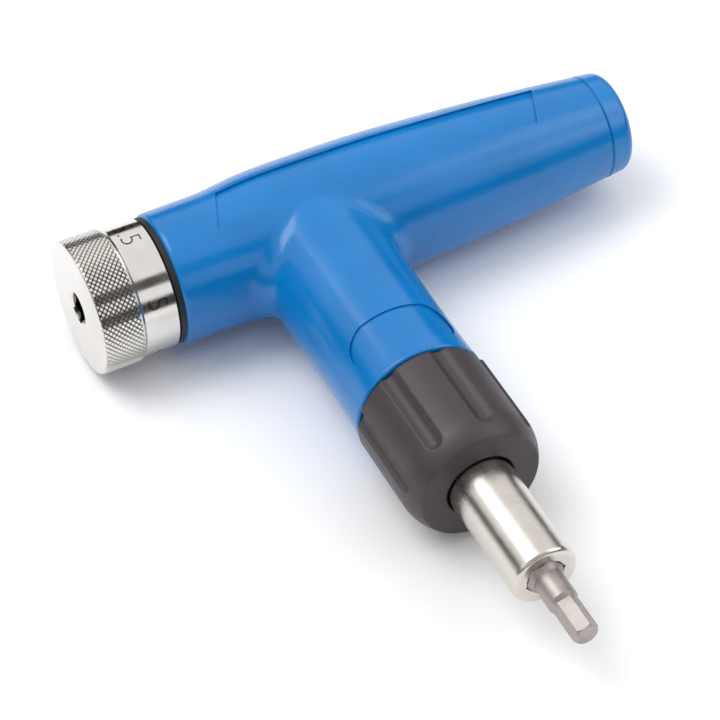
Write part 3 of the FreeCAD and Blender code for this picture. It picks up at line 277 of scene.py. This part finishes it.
def make_turning_group():
    """Fine rings that a lathe leaves round an axis, and the distance from that axis."""
    ring_tone = (0.35, 0.65)
    tree, given, result = new_group(
        "turning rings",
        [("Axis Point", VECTOR, None), ("Axis", VECTOR, None), ("Rings", FLOAT, 4000.0)],
        ["Height", "Tone", "Radius"])
    away = vector_node(tree, "SUBTRACT", object_position(tree),
                       given.outputs["Axis Point"])[0]
    along = vector_node(tree, "DOT_PRODUCT", away, given.outputs["Axis"])["Value"]
    across = vector_node(tree, "CROSS_PRODUCT", away, given.outputs["Axis"])[0]
    reach = add_node(tree, "ShaderNodeVectorMath", operation="LENGTH")
    feed(tree, reach.inputs[0], across)
    radius = reach.outputs["Value"]
    rings = add_node(tree, "ShaderNodeTexNoise", noise_dimensions="1D")
    feed(tree, rings.inputs["W"], math_node(tree, "ADD", along, radius))
    feed(tree, rings.inputs["Scale"], given.outputs["Rings"])
    rings.inputs["Detail"].default_value = 3.0
    feed(tree, result.inputs["Height"], rings.outputs["Fac"])
    feed(tree, result.inputs["Tone"], ramp(tree, rings.outputs["Fac"], ring_tone))
    feed(tree, result.inputs["Radius"], radius)
    return tree


def make_wear_group():
    """Mask of rubbed edges: strong where the surface bends sharply, broken up by noise."""
    bent_edge, patches = (0.98, 0.80), (0.38, 0.62)
    tree, given, result = new_group(
        "edge wear",
        [("Width", FLOAT, 0.0004), ("Breakup Scale", FLOAT, 900.0)],
        ["Mask"])
    rounded = add_node(tree, "ShaderNodeBevel", samples=4)
    feed(tree, rounded.inputs["Radius"], given.outputs["Width"])
    flat = add_node(tree, "ShaderNodeNewGeometry").outputs["Normal"]
    turn = vector_node(tree, "DOT_PRODUCT", rounded.outputs["Normal"], flat)["Value"]
    edge = ramp(tree, turn, bent_edge)
    uneven = noise(tree, object_position(tree), given.outputs["Breakup Scale"], 4.0, 0.65)
    feed(tree, result.inputs["Mask"],
         math_node(tree, "MULTIPLY", edge, ramp(tree, uneven, patches)))
    return tree


def make_handling_group():
    """Marks of use: soft smudges, and thin scratches that cross each other."""
    smudged, scratched = (0.42, 0.68), (0.70, 0.76)
    scratch_runs = (((0.3, 0.2, 0.6), (1.0, 26.0, 9.0)),
                    ((0.1, 0.5, 1.9), (24.0, 1.0, 11.0)))
    tree, given, result = new_group(
        "handling marks",
        [("Smudge Scale", FLOAT, 70.0), ("Scratch Scale", FLOAT, 260.0)],
        ["Smudge", "Scratch"])
    position = object_position(tree)
    smudge = noise(tree, position, given.outputs["Smudge Scale"], 4.0, 0.6)
    masks = []
    for angles, stretch in scratch_runs:
        mapping = add_node(tree, "ShaderNodeMapping")
        mapping.inputs["Rotation"].default_value = angles
        mapping.inputs["Scale"].default_value = stretch
        feed(tree, mapping.inputs["Vector"], position)
        streak = noise(tree, mapping.outputs[0], given.outputs["Scratch Scale"], 1.0, 0.4)
        masks.append(ramp(tree, streak, scratched))
    feed(tree, result.inputs["Smudge"], ramp(tree, smudge, smudged))
    feed(tree, result.inputs["Scratch"], math_node(tree, "MAXIMUM", *masks))
    return tree


GRAIN, TURNING = make_grain_group(), make_turning_group()
WEAR, HANDLING = make_wear_group(), make_handling_group()


def use_group(tree, group, **values):
    made = add_node(tree, "ShaderNodeGroup", node_tree=group)
    for name, value in values.items():
        feed(tree, made.inputs[name.replace("_", " ")], value)
    return made.outputs


# ---------------------------------------------------------------- kinds of finish

def new_material(name):
    """A material with a Principled shader; returns material, tree and shader."""
    material = bpy.data.materials.new(name)
    material.use_nodes = True
    tree = material.node_tree
    return material, tree, tree.nodes["Principled BSDF"]


def moulded_plastic(name, base, rubbed, roughness, grain_height, fine_scale=5200.0,
                    rounding=0.0):
    """Injection-moulded plastic: fine grain, slight tone changes, rubbed edges, smudges."""
    shade_depth, wear_share, smudge_share, scratch_share = 0.90, 0.45, 0.05, 0.08
    material, tree, shader = new_material(name)
    grain = use_group(tree, GRAIN, Fine_Scale=fine_scale, Coarse_Scale=90.0, Fine_Share=0.7)
    wear = use_group(tree, WEAR, Width=0.0003, Breakup_Scale=1400.0)
    marks = use_group(tree, HANDLING, Smudge_Scale=55.0, Scratch_Scale=240.0)
    tone = blend_colour(tree, grain["Variation"], toned(base, shade_depth), base)
    worn = math_node(tree, "MULTIPLY", wear["Mask"], wear_share)
    feed(tree, shader.inputs["Base Color"], blend_colour(tree, worn, tone, rubbed))
    smudged = math_node(tree, "MULTIPLY_ADD", marks["Smudge"], smudge_share, roughness)
    feed(tree, shader.inputs["Roughness"],
         math_node(tree, "MULTIPLY_ADD", marks["Scratch"], scratch_share, smudged))
    under = None
    if rounding:
        soft_edge = add_node(tree, "ShaderNodeBevel", samples=6)
        soft_edge.inputs["Radius"].default_value = rounding
        under = soft_edge.outputs["Normal"]
    feed(tree, shader.inputs["Normal"],
         bump(tree, grain["Height"], grain_height, under))
    return material


def hollow_painted_shade(tree, radii, zone):
    """How much painted shade darkens the dial's hollows: full at the first radius, none at
    the second, and only in a zone along the crossbar."""
    parts = add_node(tree, "ShaderNodeSeparateXYZ")
    feed(tree, parts.inputs[0], object_position(tree))
    along = math_node(tree, "SUBTRACT", parts.outputs["X"], AXIS_AT[0])
    after = math_node(tree, "GREATER_THAN", along, zone[0] * MM)
    before = math_node(tree, "LESS_THAN", along, zone[1] * MM)
    turning = use_group(tree, TURNING, Axis_Point=AXIS_AT, Axis=ALONG_CROSSBAR,
                        Rings=5200.0)
    below = ramp(tree, turning["Radius"], [radius * MM for radius in radii], (1.0, 0.0))
    return math_node(tree, "MULTIPLY", math_node(tree, "MULTIPLY", after, before), below)


def plated_metal(name, base, axis, roughness, pebble, pebble_scale, rings=0.0, hollows=()):
    """Bright plating over metal: orange-peel pebbling, faint rings, darker smudges, and
    painted shade in the hollows given."""
    dull_depth, dull_share, painted_shade_share = 0.86, 0.5, 0.85
    uneven_share, scratch_share = 0.06, 0.12
    material, tree, shader = new_material(name)
    grain = use_group(tree, GRAIN, Fine_Scale=pebble_scale, Coarse_Scale=160.0,
                      Fine_Share=0.85)
    turning = use_group(tree, TURNING, Axis_Point=AXIS_AT, Axis=axis, Rings=5200.0)
    marks = use_group(tree, HANDLING, Smudge_Scale=90.0, Scratch_Scale=420.0)
    dulled = math_node(tree, "MULTIPLY", marks["Smudge"], dull_share)
    tone = blend_colour(tree, dulled, base, toned(base, dull_depth))
    # painted shade: the hollows are blended towards a dark brown-grey by depth, standing in
    # for shade
    for radii, zone in hollows:
        painted_shade = math_node(tree, "MULTIPLY", hollow_painted_shade(tree, radii, zone), painted_shade_share)
        tone = blend_colour(tree, painted_shade, tone, colour(74, 68, 62))
    feed(tree, shader.inputs["Base Color"], tone)
    shader.inputs["Metallic"].default_value = 1.0
    spread = math_node(tree, "MULTIPLY_ADD", grain["Variation"], uneven_share, roughness)
    feed(tree, shader.inputs["Roughness"],
         math_node(tree, "MULTIPLY_ADD", marks["Scratch"], scratch_share, spread))
    ringed = bump(tree, turning["Height"], rings)
    feed(tree, shader.inputs["Normal"], bump(tree, grain["Height"], pebble, ringed))
    return material


def bare_metal(name, base, stain, roughness, rings=12 * MICRON, grain_height=8 * MICRON):
    """Machined metal: rings from turning, stains of oil or heat, bright rubbed edges."""
    bright_factor, wear_share, ring_share = 1.5, 0.7, 0.10
    material, tree, shader = new_material(name)
    grain = use_group(tree, GRAIN, Fine_Scale=7000.0, Coarse_Scale=240.0, Fine_Share=0.6)
    turning = use_group(tree, TURNING, Axis_Point=AXIS_AT, Axis=DOWN_STEM, Rings=7000.0)
    wear = use_group(tree, WEAR, Width=0.00025, Breakup_Scale=1600.0)
    stained = blend_colour(tree, grain["Variation"], base, stain)
    worn = math_node(tree, "MULTIPLY", wear["Mask"], wear_share)
    feed(tree, shader.inputs["Base Color"],
         blend_colour(tree, worn, stained, toned(base, bright_factor)))
    shader.inputs["Metallic"].default_value = 1.0
    feed(tree, shader.inputs["Roughness"],
         math_node(tree, "MULTIPLY_ADD", turning["Tone"], ring_share, roughness))
    ringed = bump(tree, turning["Height"], rings)
    feed(tree, shader.inputs["Normal"], bump(tree, grain["Height"], grain_height, ringed))
    return material


# ---------------------------------------------------------------- finishes

FINISHES = {
    "blue_moulding": moulded_plastic(
        "blue moulding", colour(0, 118, 192), colour(70, 160, 216), roughness=0.20,
        grain_height=4 * MICRON),
    "blue_cap": moulded_plastic(
        "blue cap", colour(0, 122, 196), colour(76, 164, 218), roughness=0.22,
        grain_height=4 * MICRON),
    "collar_black": moulded_plastic(
        "black collar", colour(62, 53, 57), colour(112, 102, 104), roughness=0.42,
        grain_height=16 * MICRON, fine_scale=3600.0, rounding=0.0006),
    "ring_black": moulded_plastic(
        "black ring", colour(10, 10, 11), colour(34, 34, 36), roughness=0.5,
        grain_height=6 * MICRON),
    "rack_black": moulded_plastic(
        "black rack", colour(34, 34, 36), colour(70, 70, 72), roughness=0.5,
        grain_height=10 * MICRON),
    "seal_rubber": moulded_plastic(
        "seal rubber", colour(22, 22, 23), colour(48, 48, 50), roughness=0.6,
        grain_height=8 * MICRON, fine_scale=3000.0),
    "dial_nickel": plated_metal(
        "dial nickel", colour(226, 223, 219), ALONG_CROSSBAR, roughness=0.09,
        pebble=5 * MICRON, pebble_scale=4200.0, rings=1 * MICRON,
        # painted shade darkens the knurl grooves and the engraved numbers
        hollows=(KNURL_PAINTED_SHADE, NUMBER_PAINTED_SHADE)),
    "holder_nickel": plated_metal(
        "holder nickel", colour(214, 208, 201), DOWN_STEM, roughness=0.17,
        pebble=30 * MICRON, pebble_scale=5200.0, rings=2 * MICRON),
    "magnet": plated_metal(
        "magnet nickel", colour(200, 199, 196), DOWN_STEM, roughness=0.22,
        pebble=4 * MICRON, pebble_scale=5000.0),
    "bit_steel": bare_metal(
        "blasted bit steel", colour(176, 169, 166), colour(158, 150, 147), roughness=0.42,
        rings=3 * MICRON, grain_height=30 * MICRON),
    "machined_steel": bare_metal(
        "machined steel", colour(190, 190, 192), colour(165, 163, 160), roughness=0.28),
    "hardened_steel": bare_metal(
        "hardened steel", colour(150, 147, 143), colour(118, 108, 96), roughness=0.30),
    "spring_steel": bare_metal(
        "blued spring steel", colour(112, 116, 124), colour(84, 84, 98), roughness=0.34),
    "bronze": bare_metal(
        "oiled bronze", colour(184, 140, 84), colour(140, 98, 54), roughness=0.40,
        rings=8 * MICRON, grain_height=20 * MICRON),
}

for part in frame["record"]["subparts"]:
    body = frame["nodes"][part["node"]]
    body.data.materials.clear()
    body.data.materials.append(FINISHES[part["material_slot"]])


# ---------------------------------------------------------------- mesh helpers

def linked(name, data):
    """An object in the scene, at the origin."""
    made = bpy.data.objects.new(name, data)
    bpy.context.scene.collection.objects.link(made)
    return made


def mesh_object(name, vertices, faces):
    mesh = bpy.data.meshes.new(name)
    mesh.from_pydata(vertices, [], faces)
    return linked(name, mesh)


def turn_outwards(made):
    """Makes the faces of a closed piece face outwards."""
    shape = bmesh.new()
    shape.from_mesh(made.data)
    bmesh.ops.recalc_face_normals(shape, faces=shape.faces)
    shape.to_mesh(made.data)
    shape.free()
    return made


def turned_piece(name, outline, sides):
    """Closed piece turned round the crossbar's axis from (x, radius) corners. The outline
    starts and ends on the axis."""
    vertices, faces = [], []
    inner = outline[1:-1]
    for x, radius in inner:
        vertices += [on_dial(x, radius, 360 * side / sides) for side in range(sides)]
    for ring in range(len(inner) - 1):
        low, high = ring * sides, (ring + 1) * sides
        for side in range(sides):
            following = (side + 1) % sides
            faces.append((low + side, high + side, high + following, low + following))
    last = (len(inner) - 1) * sides
    faces.append(tuple(range(sides)))
    faces.append(tuple(last + side for side in reversed(range(sides))))
    return turn_outwards(mesh_object(name, vertices, faces))


def plain_copy(made):
    """Replaces an object's mesh by its evaluated mesh and clears its modifiers."""
    graph = bpy.context.evaluated_depsgraph_get()
    mesh = bpy.data.meshes.new_from_object(made.evaluated_get(graph))
    made.modifiers.clear()
    made.data = mesh
    return made


def carve(made, tools):
    """Cuts closed tools out of a closed piece and removes them."""
    for tool in tools:
        cutter = made.modifiers.new("cut", "BOOLEAN")
        cutter.operation, cutter.solver, cutter.object = "DIFFERENCE", "MANIFOLD", tool
    plain_copy(made)
    for tool in tools:
        bpy.data.objects.remove(tool)
    return made


# ---------------------------------------------------------------- knurl

def knurl_stud():
    """One diamond of the knurl, at the top of the dial: four sloping sides and a flat. It
    is measured from the crossing, for the copies to be set from there."""
    half_turn, half_length = 180 / KNURL_COLUMNS, KNURL_PITCH / 2
    corners = ((0, half_length), (half_turn, 0), (0, -half_length), (-half_turn, 0))
    foot = [on_dial(x, KNURL_RADIUS - KNURL_DEPTH, angle) for angle, x in corners]
    top = [on_dial(x * KNURL_TOP_SHARE, KNURL_RADIUS, angle * KNURL_TOP_SHARE)
           for angle, x in corners]
    faces = [(side, (side + 1) % 4, 4 + (side + 1) % 4, 4 + side) for side in range(4)]
    return mesh_object("knurl_stud", [vertex - CROSSING for vertex in foot + top],
                       faces + [(4, 5, 6, 7)])


def knurl_spots(tree, given):
    """The studs' places and turns: rows along the crossbar, each second one staggered."""
    columns = given.outputs["Columns"]
    index = add_node(tree, "GeometryNodeInputIndex").outputs[0]
    row = math_node(tree, "FLOOR", math_node(tree, "DIVIDE", index, columns))
    column = math_node(tree, "MODULO", index, columns)
    stagger = math_node(tree, "MULTIPLY", math_node(tree, "MODULO", row, 2.0), 0.5)
    share = math_node(tree, "DIVIDE", math_node(tree, "ADD", column, stagger), columns)
    turn = add_node(tree, "ShaderNodeCombineXYZ")
    feed(tree, turn.inputs["X"], math_node(tree, "MULTIPLY", share, math.tau))
    along = add_node(tree, "ShaderNodeCombineXYZ")
    feed(tree, along.inputs["X"],
         math_node(tree, "MULTIPLY_ADD", row, given.outputs["Row Step"],
                   given.outputs["Start"]))
    spot = vector_node(tree, "ADD", along.outputs[0], given.outputs["Centre"])[0]
    return spot, turn.outputs[0]


def knurl_tree():
    """Geometry Nodes that copy one stud in staggered rows round an axis along X. Returns
    the tree and the identifier of each named input."""
    tree = bpy.data.node_groups.new("diamond knurl", "GeometryNodeTree")
    tree.interface.new_socket("Geometry", in_out="OUTPUT", socket_type="NodeSocketGeometry")
    kinds = {"Stud": "NodeSocketObject", "Columns": "NodeSocketInt",
             "Rows": "NodeSocketInt", "Start": FLOAT, "Row Step": FLOAT,
             "Centre": VECTOR, "Material": "NodeSocketMaterial"}
    identifiers = {
        name: tree.interface.new_socket(name, in_out="INPUT", socket_type=kind).identifier
        for name, kind in kinds.items()}
    given, result = add_node(tree, "NodeGroupInput"), add_node(tree, "NodeGroupOutput")
    spot, turn = knurl_spots(tree, given)
    points = add_node(tree, "GeometryNodePoints")
    feed(tree, points.inputs["Count"],
         math_node(tree, "MULTIPLY", given.outputs["Columns"], given.outputs["Rows"]))
    placed = add_node(tree, "GeometryNodeSetPosition")
    feed(tree, placed.inputs["Geometry"], points.outputs[0])
    feed(tree, placed.inputs["Position"], spot)
    stud = add_node(tree, "GeometryNodeObjectInfo")
    feed(tree, stud.inputs["Object"], given.outputs["Stud"])
    copies = add_node(tree, "GeometryNodeInstanceOnPoints")
    feed(tree, copies.inputs["Points"], placed.outputs[0])
    feed(tree, copies.inputs["Instance"], stud.outputs["Geometry"])
    feed(tree, copies.inputs["Rotation"], turn)
    real = add_node(tree, "GeometryNodeRealizeInstances")
    feed(tree, real.inputs[0], copies.outputs[0])
    joined = add_node(tree, "GeometryNodeMergeByDistance")
    feed(tree, joined.inputs["Geometry"], real.outputs[0])
    joined.inputs["Distance"].default_value = KNURL_JOIN * MM
    painted = add_node(tree, "GeometryNodeSetMaterial")
    feed(tree, painted.inputs["Geometry"], joined.outputs[0])
    feed(tree, painted.inputs["Material"], given.outputs["Material"])
    feed(tree, result.inputs[0], painted.outputs[0])
    return tree, identifiers


def close_ends(roll):
    """Caps the two open ends of the roll, so that it is a closed body."""
    shape = bmesh.new()
    shape.from_mesh(roll.data)
    open_edges = [edge for edge in shape.edges if edge.is_boundary]
    bmesh.ops.holes_fill(shape, edges=open_edges, sides=0)
    bmesh.ops.recalc_face_normals(shape, faces=shape.faces)
    shape.to_mesh(roll.data)
    shape.free()
    return roll


def knurled_roll():
    """Closed roll of diamond studs that reaches past both ends of the knurl."""
    tree, identifiers = knurl_tree()
    model = knurl_stud()
    roll = mesh_object("knurled_roll", [(0, 0, 0)], [])
    maker = roll.modifiers.new("knurl", "NODES")
    maker.node_group = tree
    row_step = KNURL_PITCH / 2
    rows = int((KNURL_END_AT - DIAL_FACE_AT) / row_step) + KNURL_SPARE_ROWS
    settings = {"Stud": model, "Columns": KNURL_COLUMNS, "Rows": rows,
                "Row Step": row_step * MM, "Start": (DIAL_FACE_AT - KNURL_PITCH) * MM,
                "Centre": CROSSING, "Material": FINISHES["dial_nickel"]}
    for name, value in settings.items():
        maker[identifiers[name]] = value
    plain_copy(roll)
    bpy.data.objects.remove(model)
    return close_ends(roll)


def knurl_sleeve():
    """Cutter for the knurl: a block with the roll taken out of it, so that what it leaves
    of the blank is the roll."""
    start, end = DIAL_FACE_AT - SLEEVE_LEAD, KNURL_END_AT + SLEEVE_PAST_GROOVE
    outside = KNURL_RADIUS + TOOL_CLEARANCE
    sleeve = turned_piece("knurl_sleeve", [(start, 0), (start, outside), (end, outside),
                                           (end, 0)], TOOL_SIDES)
    return carve(sleeve, [knurled_roll()])


# ---------------------------------------------------------------- dial

def flat_number(text):
    """A number as a flat mesh of thin strokes, standing on the X axis, in millimetres."""
    curve = bpy.data.curves.new("number_" + text, "FONT")
    curve.body = text
    curve.align_x = "CENTER"
    curve.offset = DIGIT_THINNING
    curve.resolution_u = DIGIT_CURVE_STEPS
    holder = linked(curve.name, curve)
    graph = bpy.context.evaluated_depsgraph_get()
    mesh = bpy.data.meshes.new_from_object(holder.evaluated_get(graph))
    bpy.data.objects.remove(holder)
    shape = bmesh.new()
    shape.from_mesh(mesh)
    bmesh.ops.remove_doubles(shape, verts=shape.verts, dist=0.0001)
    ups = [vertex.co.y for vertex in shape.verts]
    low, scale = min(ups), DIGIT_HEIGHT / (max(ups) - min(ups))
    for vertex in shape.verts:
        vertex.co = Vector((vertex.co.x * scale, (vertex.co.y - low) * scale, 0))
    return mesh, shape


def number_tool(text, angle):
    """Closed cutter for one engraved number, bent round the number band."""
    mesh, shape = flat_number(text)
    reach = max(abs(vertex.co.x) for vertex in shape.verts)
    cut = -reach
    while cut < reach:
        everything = shape.verts[:] + shape.edges[:] + shape.faces[:]
        bmesh.ops.bisect_plane(shape, geom=everything, plane_co=(cut, 0, 0),
                               plane_no=(1, 0, 0), dist=0.0001)
        cut += DIGIT_BEND_STEP
    top = bmesh.ops.extrude_face_region(shape, geom=shape.faces[:])["geom"]
    raised = {item for item in top if isinstance(item, bmesh.types.BMVert)}
    for vertex in shape.verts:
        radius = BAND_RADIUS + (DIGIT_CLEARANCE if vertex in raised else -ENGRAVING_DEPTH)
        turn = angle + math.degrees(vertex.co.x / BAND_RADIUS)
        vertex.co = on_dial(DIGIT_BASE_AT + vertex.co.y, radius, turn)
    bmesh.ops.recalc_face_normals(shape, faces=shape.faces)
    shape.to_mesh(mesh)
    shape.free()
    return linked("number_" + text, mesh)


def key_socket_tools():
    """Hex prism through the dial, and a cone for the bevelled mouth."""
    corner = KEY_FLATS / math.sqrt(3)
    start, end = DIAL_FACE_AT - TOOL_CLEARANCE, HUB_END_AT + TOOL_CLEARANCE
    vertices = [on_dial(x, corner, 60 * side) for x in (start, end) for side in range(6)]
    faces = [(side, 6 + side, 6 + (side + 1) % 6, (side + 1) % 6) for side in range(6)]
    faces += [tuple(range(6)), tuple(reversed(range(6, 12)))]
    prism = turn_outwards(mesh_object("key_prism", vertices, faces))
    point = DIAL_FACE_AT + KEY_MOUTH_RADIUS - KEY_MOUTH_POINT
    mouth = turned_piece("key_mouth", [
        (start, 0), (start, KEY_MOUTH_RADIUS + TOOL_CLEARANCE),
        (point, KEY_MOUTH_POINT), (point, 0)], TOOL_SIDES)
    return [prism, mouth]


def dial_outline():
    """Profile of the dial's blank, from its face to the end of its hub."""
    centre_x, centre_r = DIAL_FACE_AT + EDGE_ROUND, KNURL_RADIUS - EDGE_ROUND
    turns = [math.radians(90 * step / EDGE_STEPS) for step in range(EDGE_STEPS + 1)]
    rounded = [(centre_x - EDGE_ROUND * math.cos(turn), centre_r + EDGE_ROUND * math.sin(turn))
               for turn in turns]
    return ([(DIAL_FACE_AT, 0), (DIAL_FACE_AT, FACE_RING_RADIUS)] + rounded + [
        (KNURL_END_AT - KNURL_BEVEL[0], KNURL_RADIUS),
        (KNURL_END_AT, KNURL_RADIUS - KNURL_BEVEL[1]),
        (KNURL_END_AT, GROOVE_RADIUS),
        (BAND_START_AT, GROOVE_RADIUS),
        (BAND_START_AT, BAND_RADIUS - BAND_BEVEL),
        (BAND_START_AT + BAND_BEVEL, BAND_RADIUS),
        (BAND_END_AT - BAND_BEVEL, BAND_RADIUS),
        (BAND_END_AT, BAND_RADIUS - BAND_BEVEL),
        (BAND_END_AT, HUB_RADIUS),
        (HUB_END_AT, HUB_RADIUS),
        (HUB_END_AT, 0)])


def shade_dial(made):
    """Smooth shading with sharp edges, and on the number band the exact normals of a
    cylinder, also beside the engraving."""
    mesh = made.data
    for face in mesh.polygons:
        face.use_smooth = True
    mesh.set_sharp_from_angle(angle=math.radians(SMOOTH_UP_TO))
    normals = [Vector(loop.vector) for loop in mesh.corner_normals]
    for face in mesh.polygons:
        for loop in face.loop_indices:
            point = mesh.vertices[mesh.loops[loop].vertex_index].co - CROSSING
            outward = Vector((0, point.y, point.z))
            if abs(outward.length / MM - BAND_RADIUS) > BAND_TOLERANCE:
                continue
            outward.normalize()
            if outward.dot(face.normal) > BAND_FACING:
                normals[loop] = outward
    mesh.normals_split_custom_set(normals)


def make_dial():
    """The dial with its knurl, key socket and engraved numbers, cut from one blank."""
    dial = turned_piece("dial_knurled", dial_outline(), DIAL_SIDES)
    tools = [knurl_sleeve()] + key_socket_tools()
    tools += [number_tool(text, angle) for text, angle in DIAL_NUMBERS.items()]
    carve(dial, tools)
    dial.data.materials.clear()
    dial.data.materials.append(FINISHES["dial_nickel"])
    shade_dial(dial)
    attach(dial, "dial")
    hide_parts("dial_knob")


make_dial()


# ---------------------------------------------------------------- floor, light and camera

def make_floor():
    corners = ((-1, -1), (1, -1), (1, 1), (-1, 1))
    floor = mesh_object("floor", [(x * FLOOR_REACH, y * FLOOR_REACH, -FLOOR_DROP)
                                  for x, y in corners], [(0, 1, 2, 3)])
    material, _, shader = new_material("white floor")
    shader.inputs["Base Color"].default_value = FLOOR_COLOUR
    shader.inputs["Roughness"].default_value = 0.8
    shader.inputs["Specular IOR Level"].default_value = 0.1
    floor.data.materials.append(material)


def make_world():
    """White to the camera; to the object a white dome over a dark horizon, with a card."""
    world = bpy.data.worlds.new("studio")
    world.use_nodes = True
    tree = world.node_tree
    ray = add_node(tree, "ShaderNodeLightPath").outputs
    direction = add_node(tree, "ShaderNodeSeparateXYZ")
    feed(tree, direction.inputs[0], add_node(tree, "ShaderNodeTexCoord").outputs["Generated"])
    height = direction.outputs["Z"]
    dome = ramp(tree, height, HORIZON_TO, (HORIZON_LEVEL, 1.0))
    between = math_node(tree, "MULTIPLY", ramp(tree, height, CARD_LOWER_EDGE),
                        ramp(tree, height, CARD_UPPER_EDGE, (1.0, 0.0)))
    in_front = ramp(tree, direction.outputs["Y"], CARD_SIDE_EDGE, (CARD_SHARE, 0.0))
    card = math_node(tree, "MULTIPLY", between, in_front)
    carded = math_node(tree, "MULTIPLY_ADD", card, -1.0, 1.0)
    seen = math_node(tree, "MAXIMUM", ray["Is Camera Ray"],
                     math_node(tree, "MULTIPLY", dome, carded))
    background = tree.nodes["Background"]
    feed(tree, background.inputs["Color"],
         blend_colour(tree, seen, (0.0, 0.0, 0.0, 1.0), (1.0, 1.0, 1.0, 1.0)))
    background.inputs["Strength"].default_value = 1.0
    bpy.context.scene.world = world


def make_lamp(name, spot, size, power):
    """Square lamp that faces the middle of the frame."""
    lamp = bpy.data.lights.new(name, "AREA")
    lamp.size = size
    lamp.energy = power
    holder = linked(name, lamp)
    holder.location = spot
    holder.rotation_euler = (-Vector(spot)).to_track_quat("-Z", "Y").to_euler()


def make_camera():
    camera = bpy.data.cameras.new("camera")
    camera.sensor_width = CAMERA_SENSOR
    camera.lens = CAMERA_LENS
    camera.clip_start, camera.clip_end = CAMERA_RANGE
    holder = linked("camera", camera)
    turn = Matrix((CAMERA_RIGHT, -CAMERA_DOWN, -CAMERA_FORWARD)).transposed()
    holder.matrix_world = Matrix.Translation(place(*CAMERA_AT)) @ turn.to_4x4()
    bpy.context.scene.camera = holder


make_floor()
make_world()
for lamp_settings in LAMPS:
    make_lamp(*lamp_settings)
make_camera()
bpy.context.scene.view_settings.view_transform = "Standard"
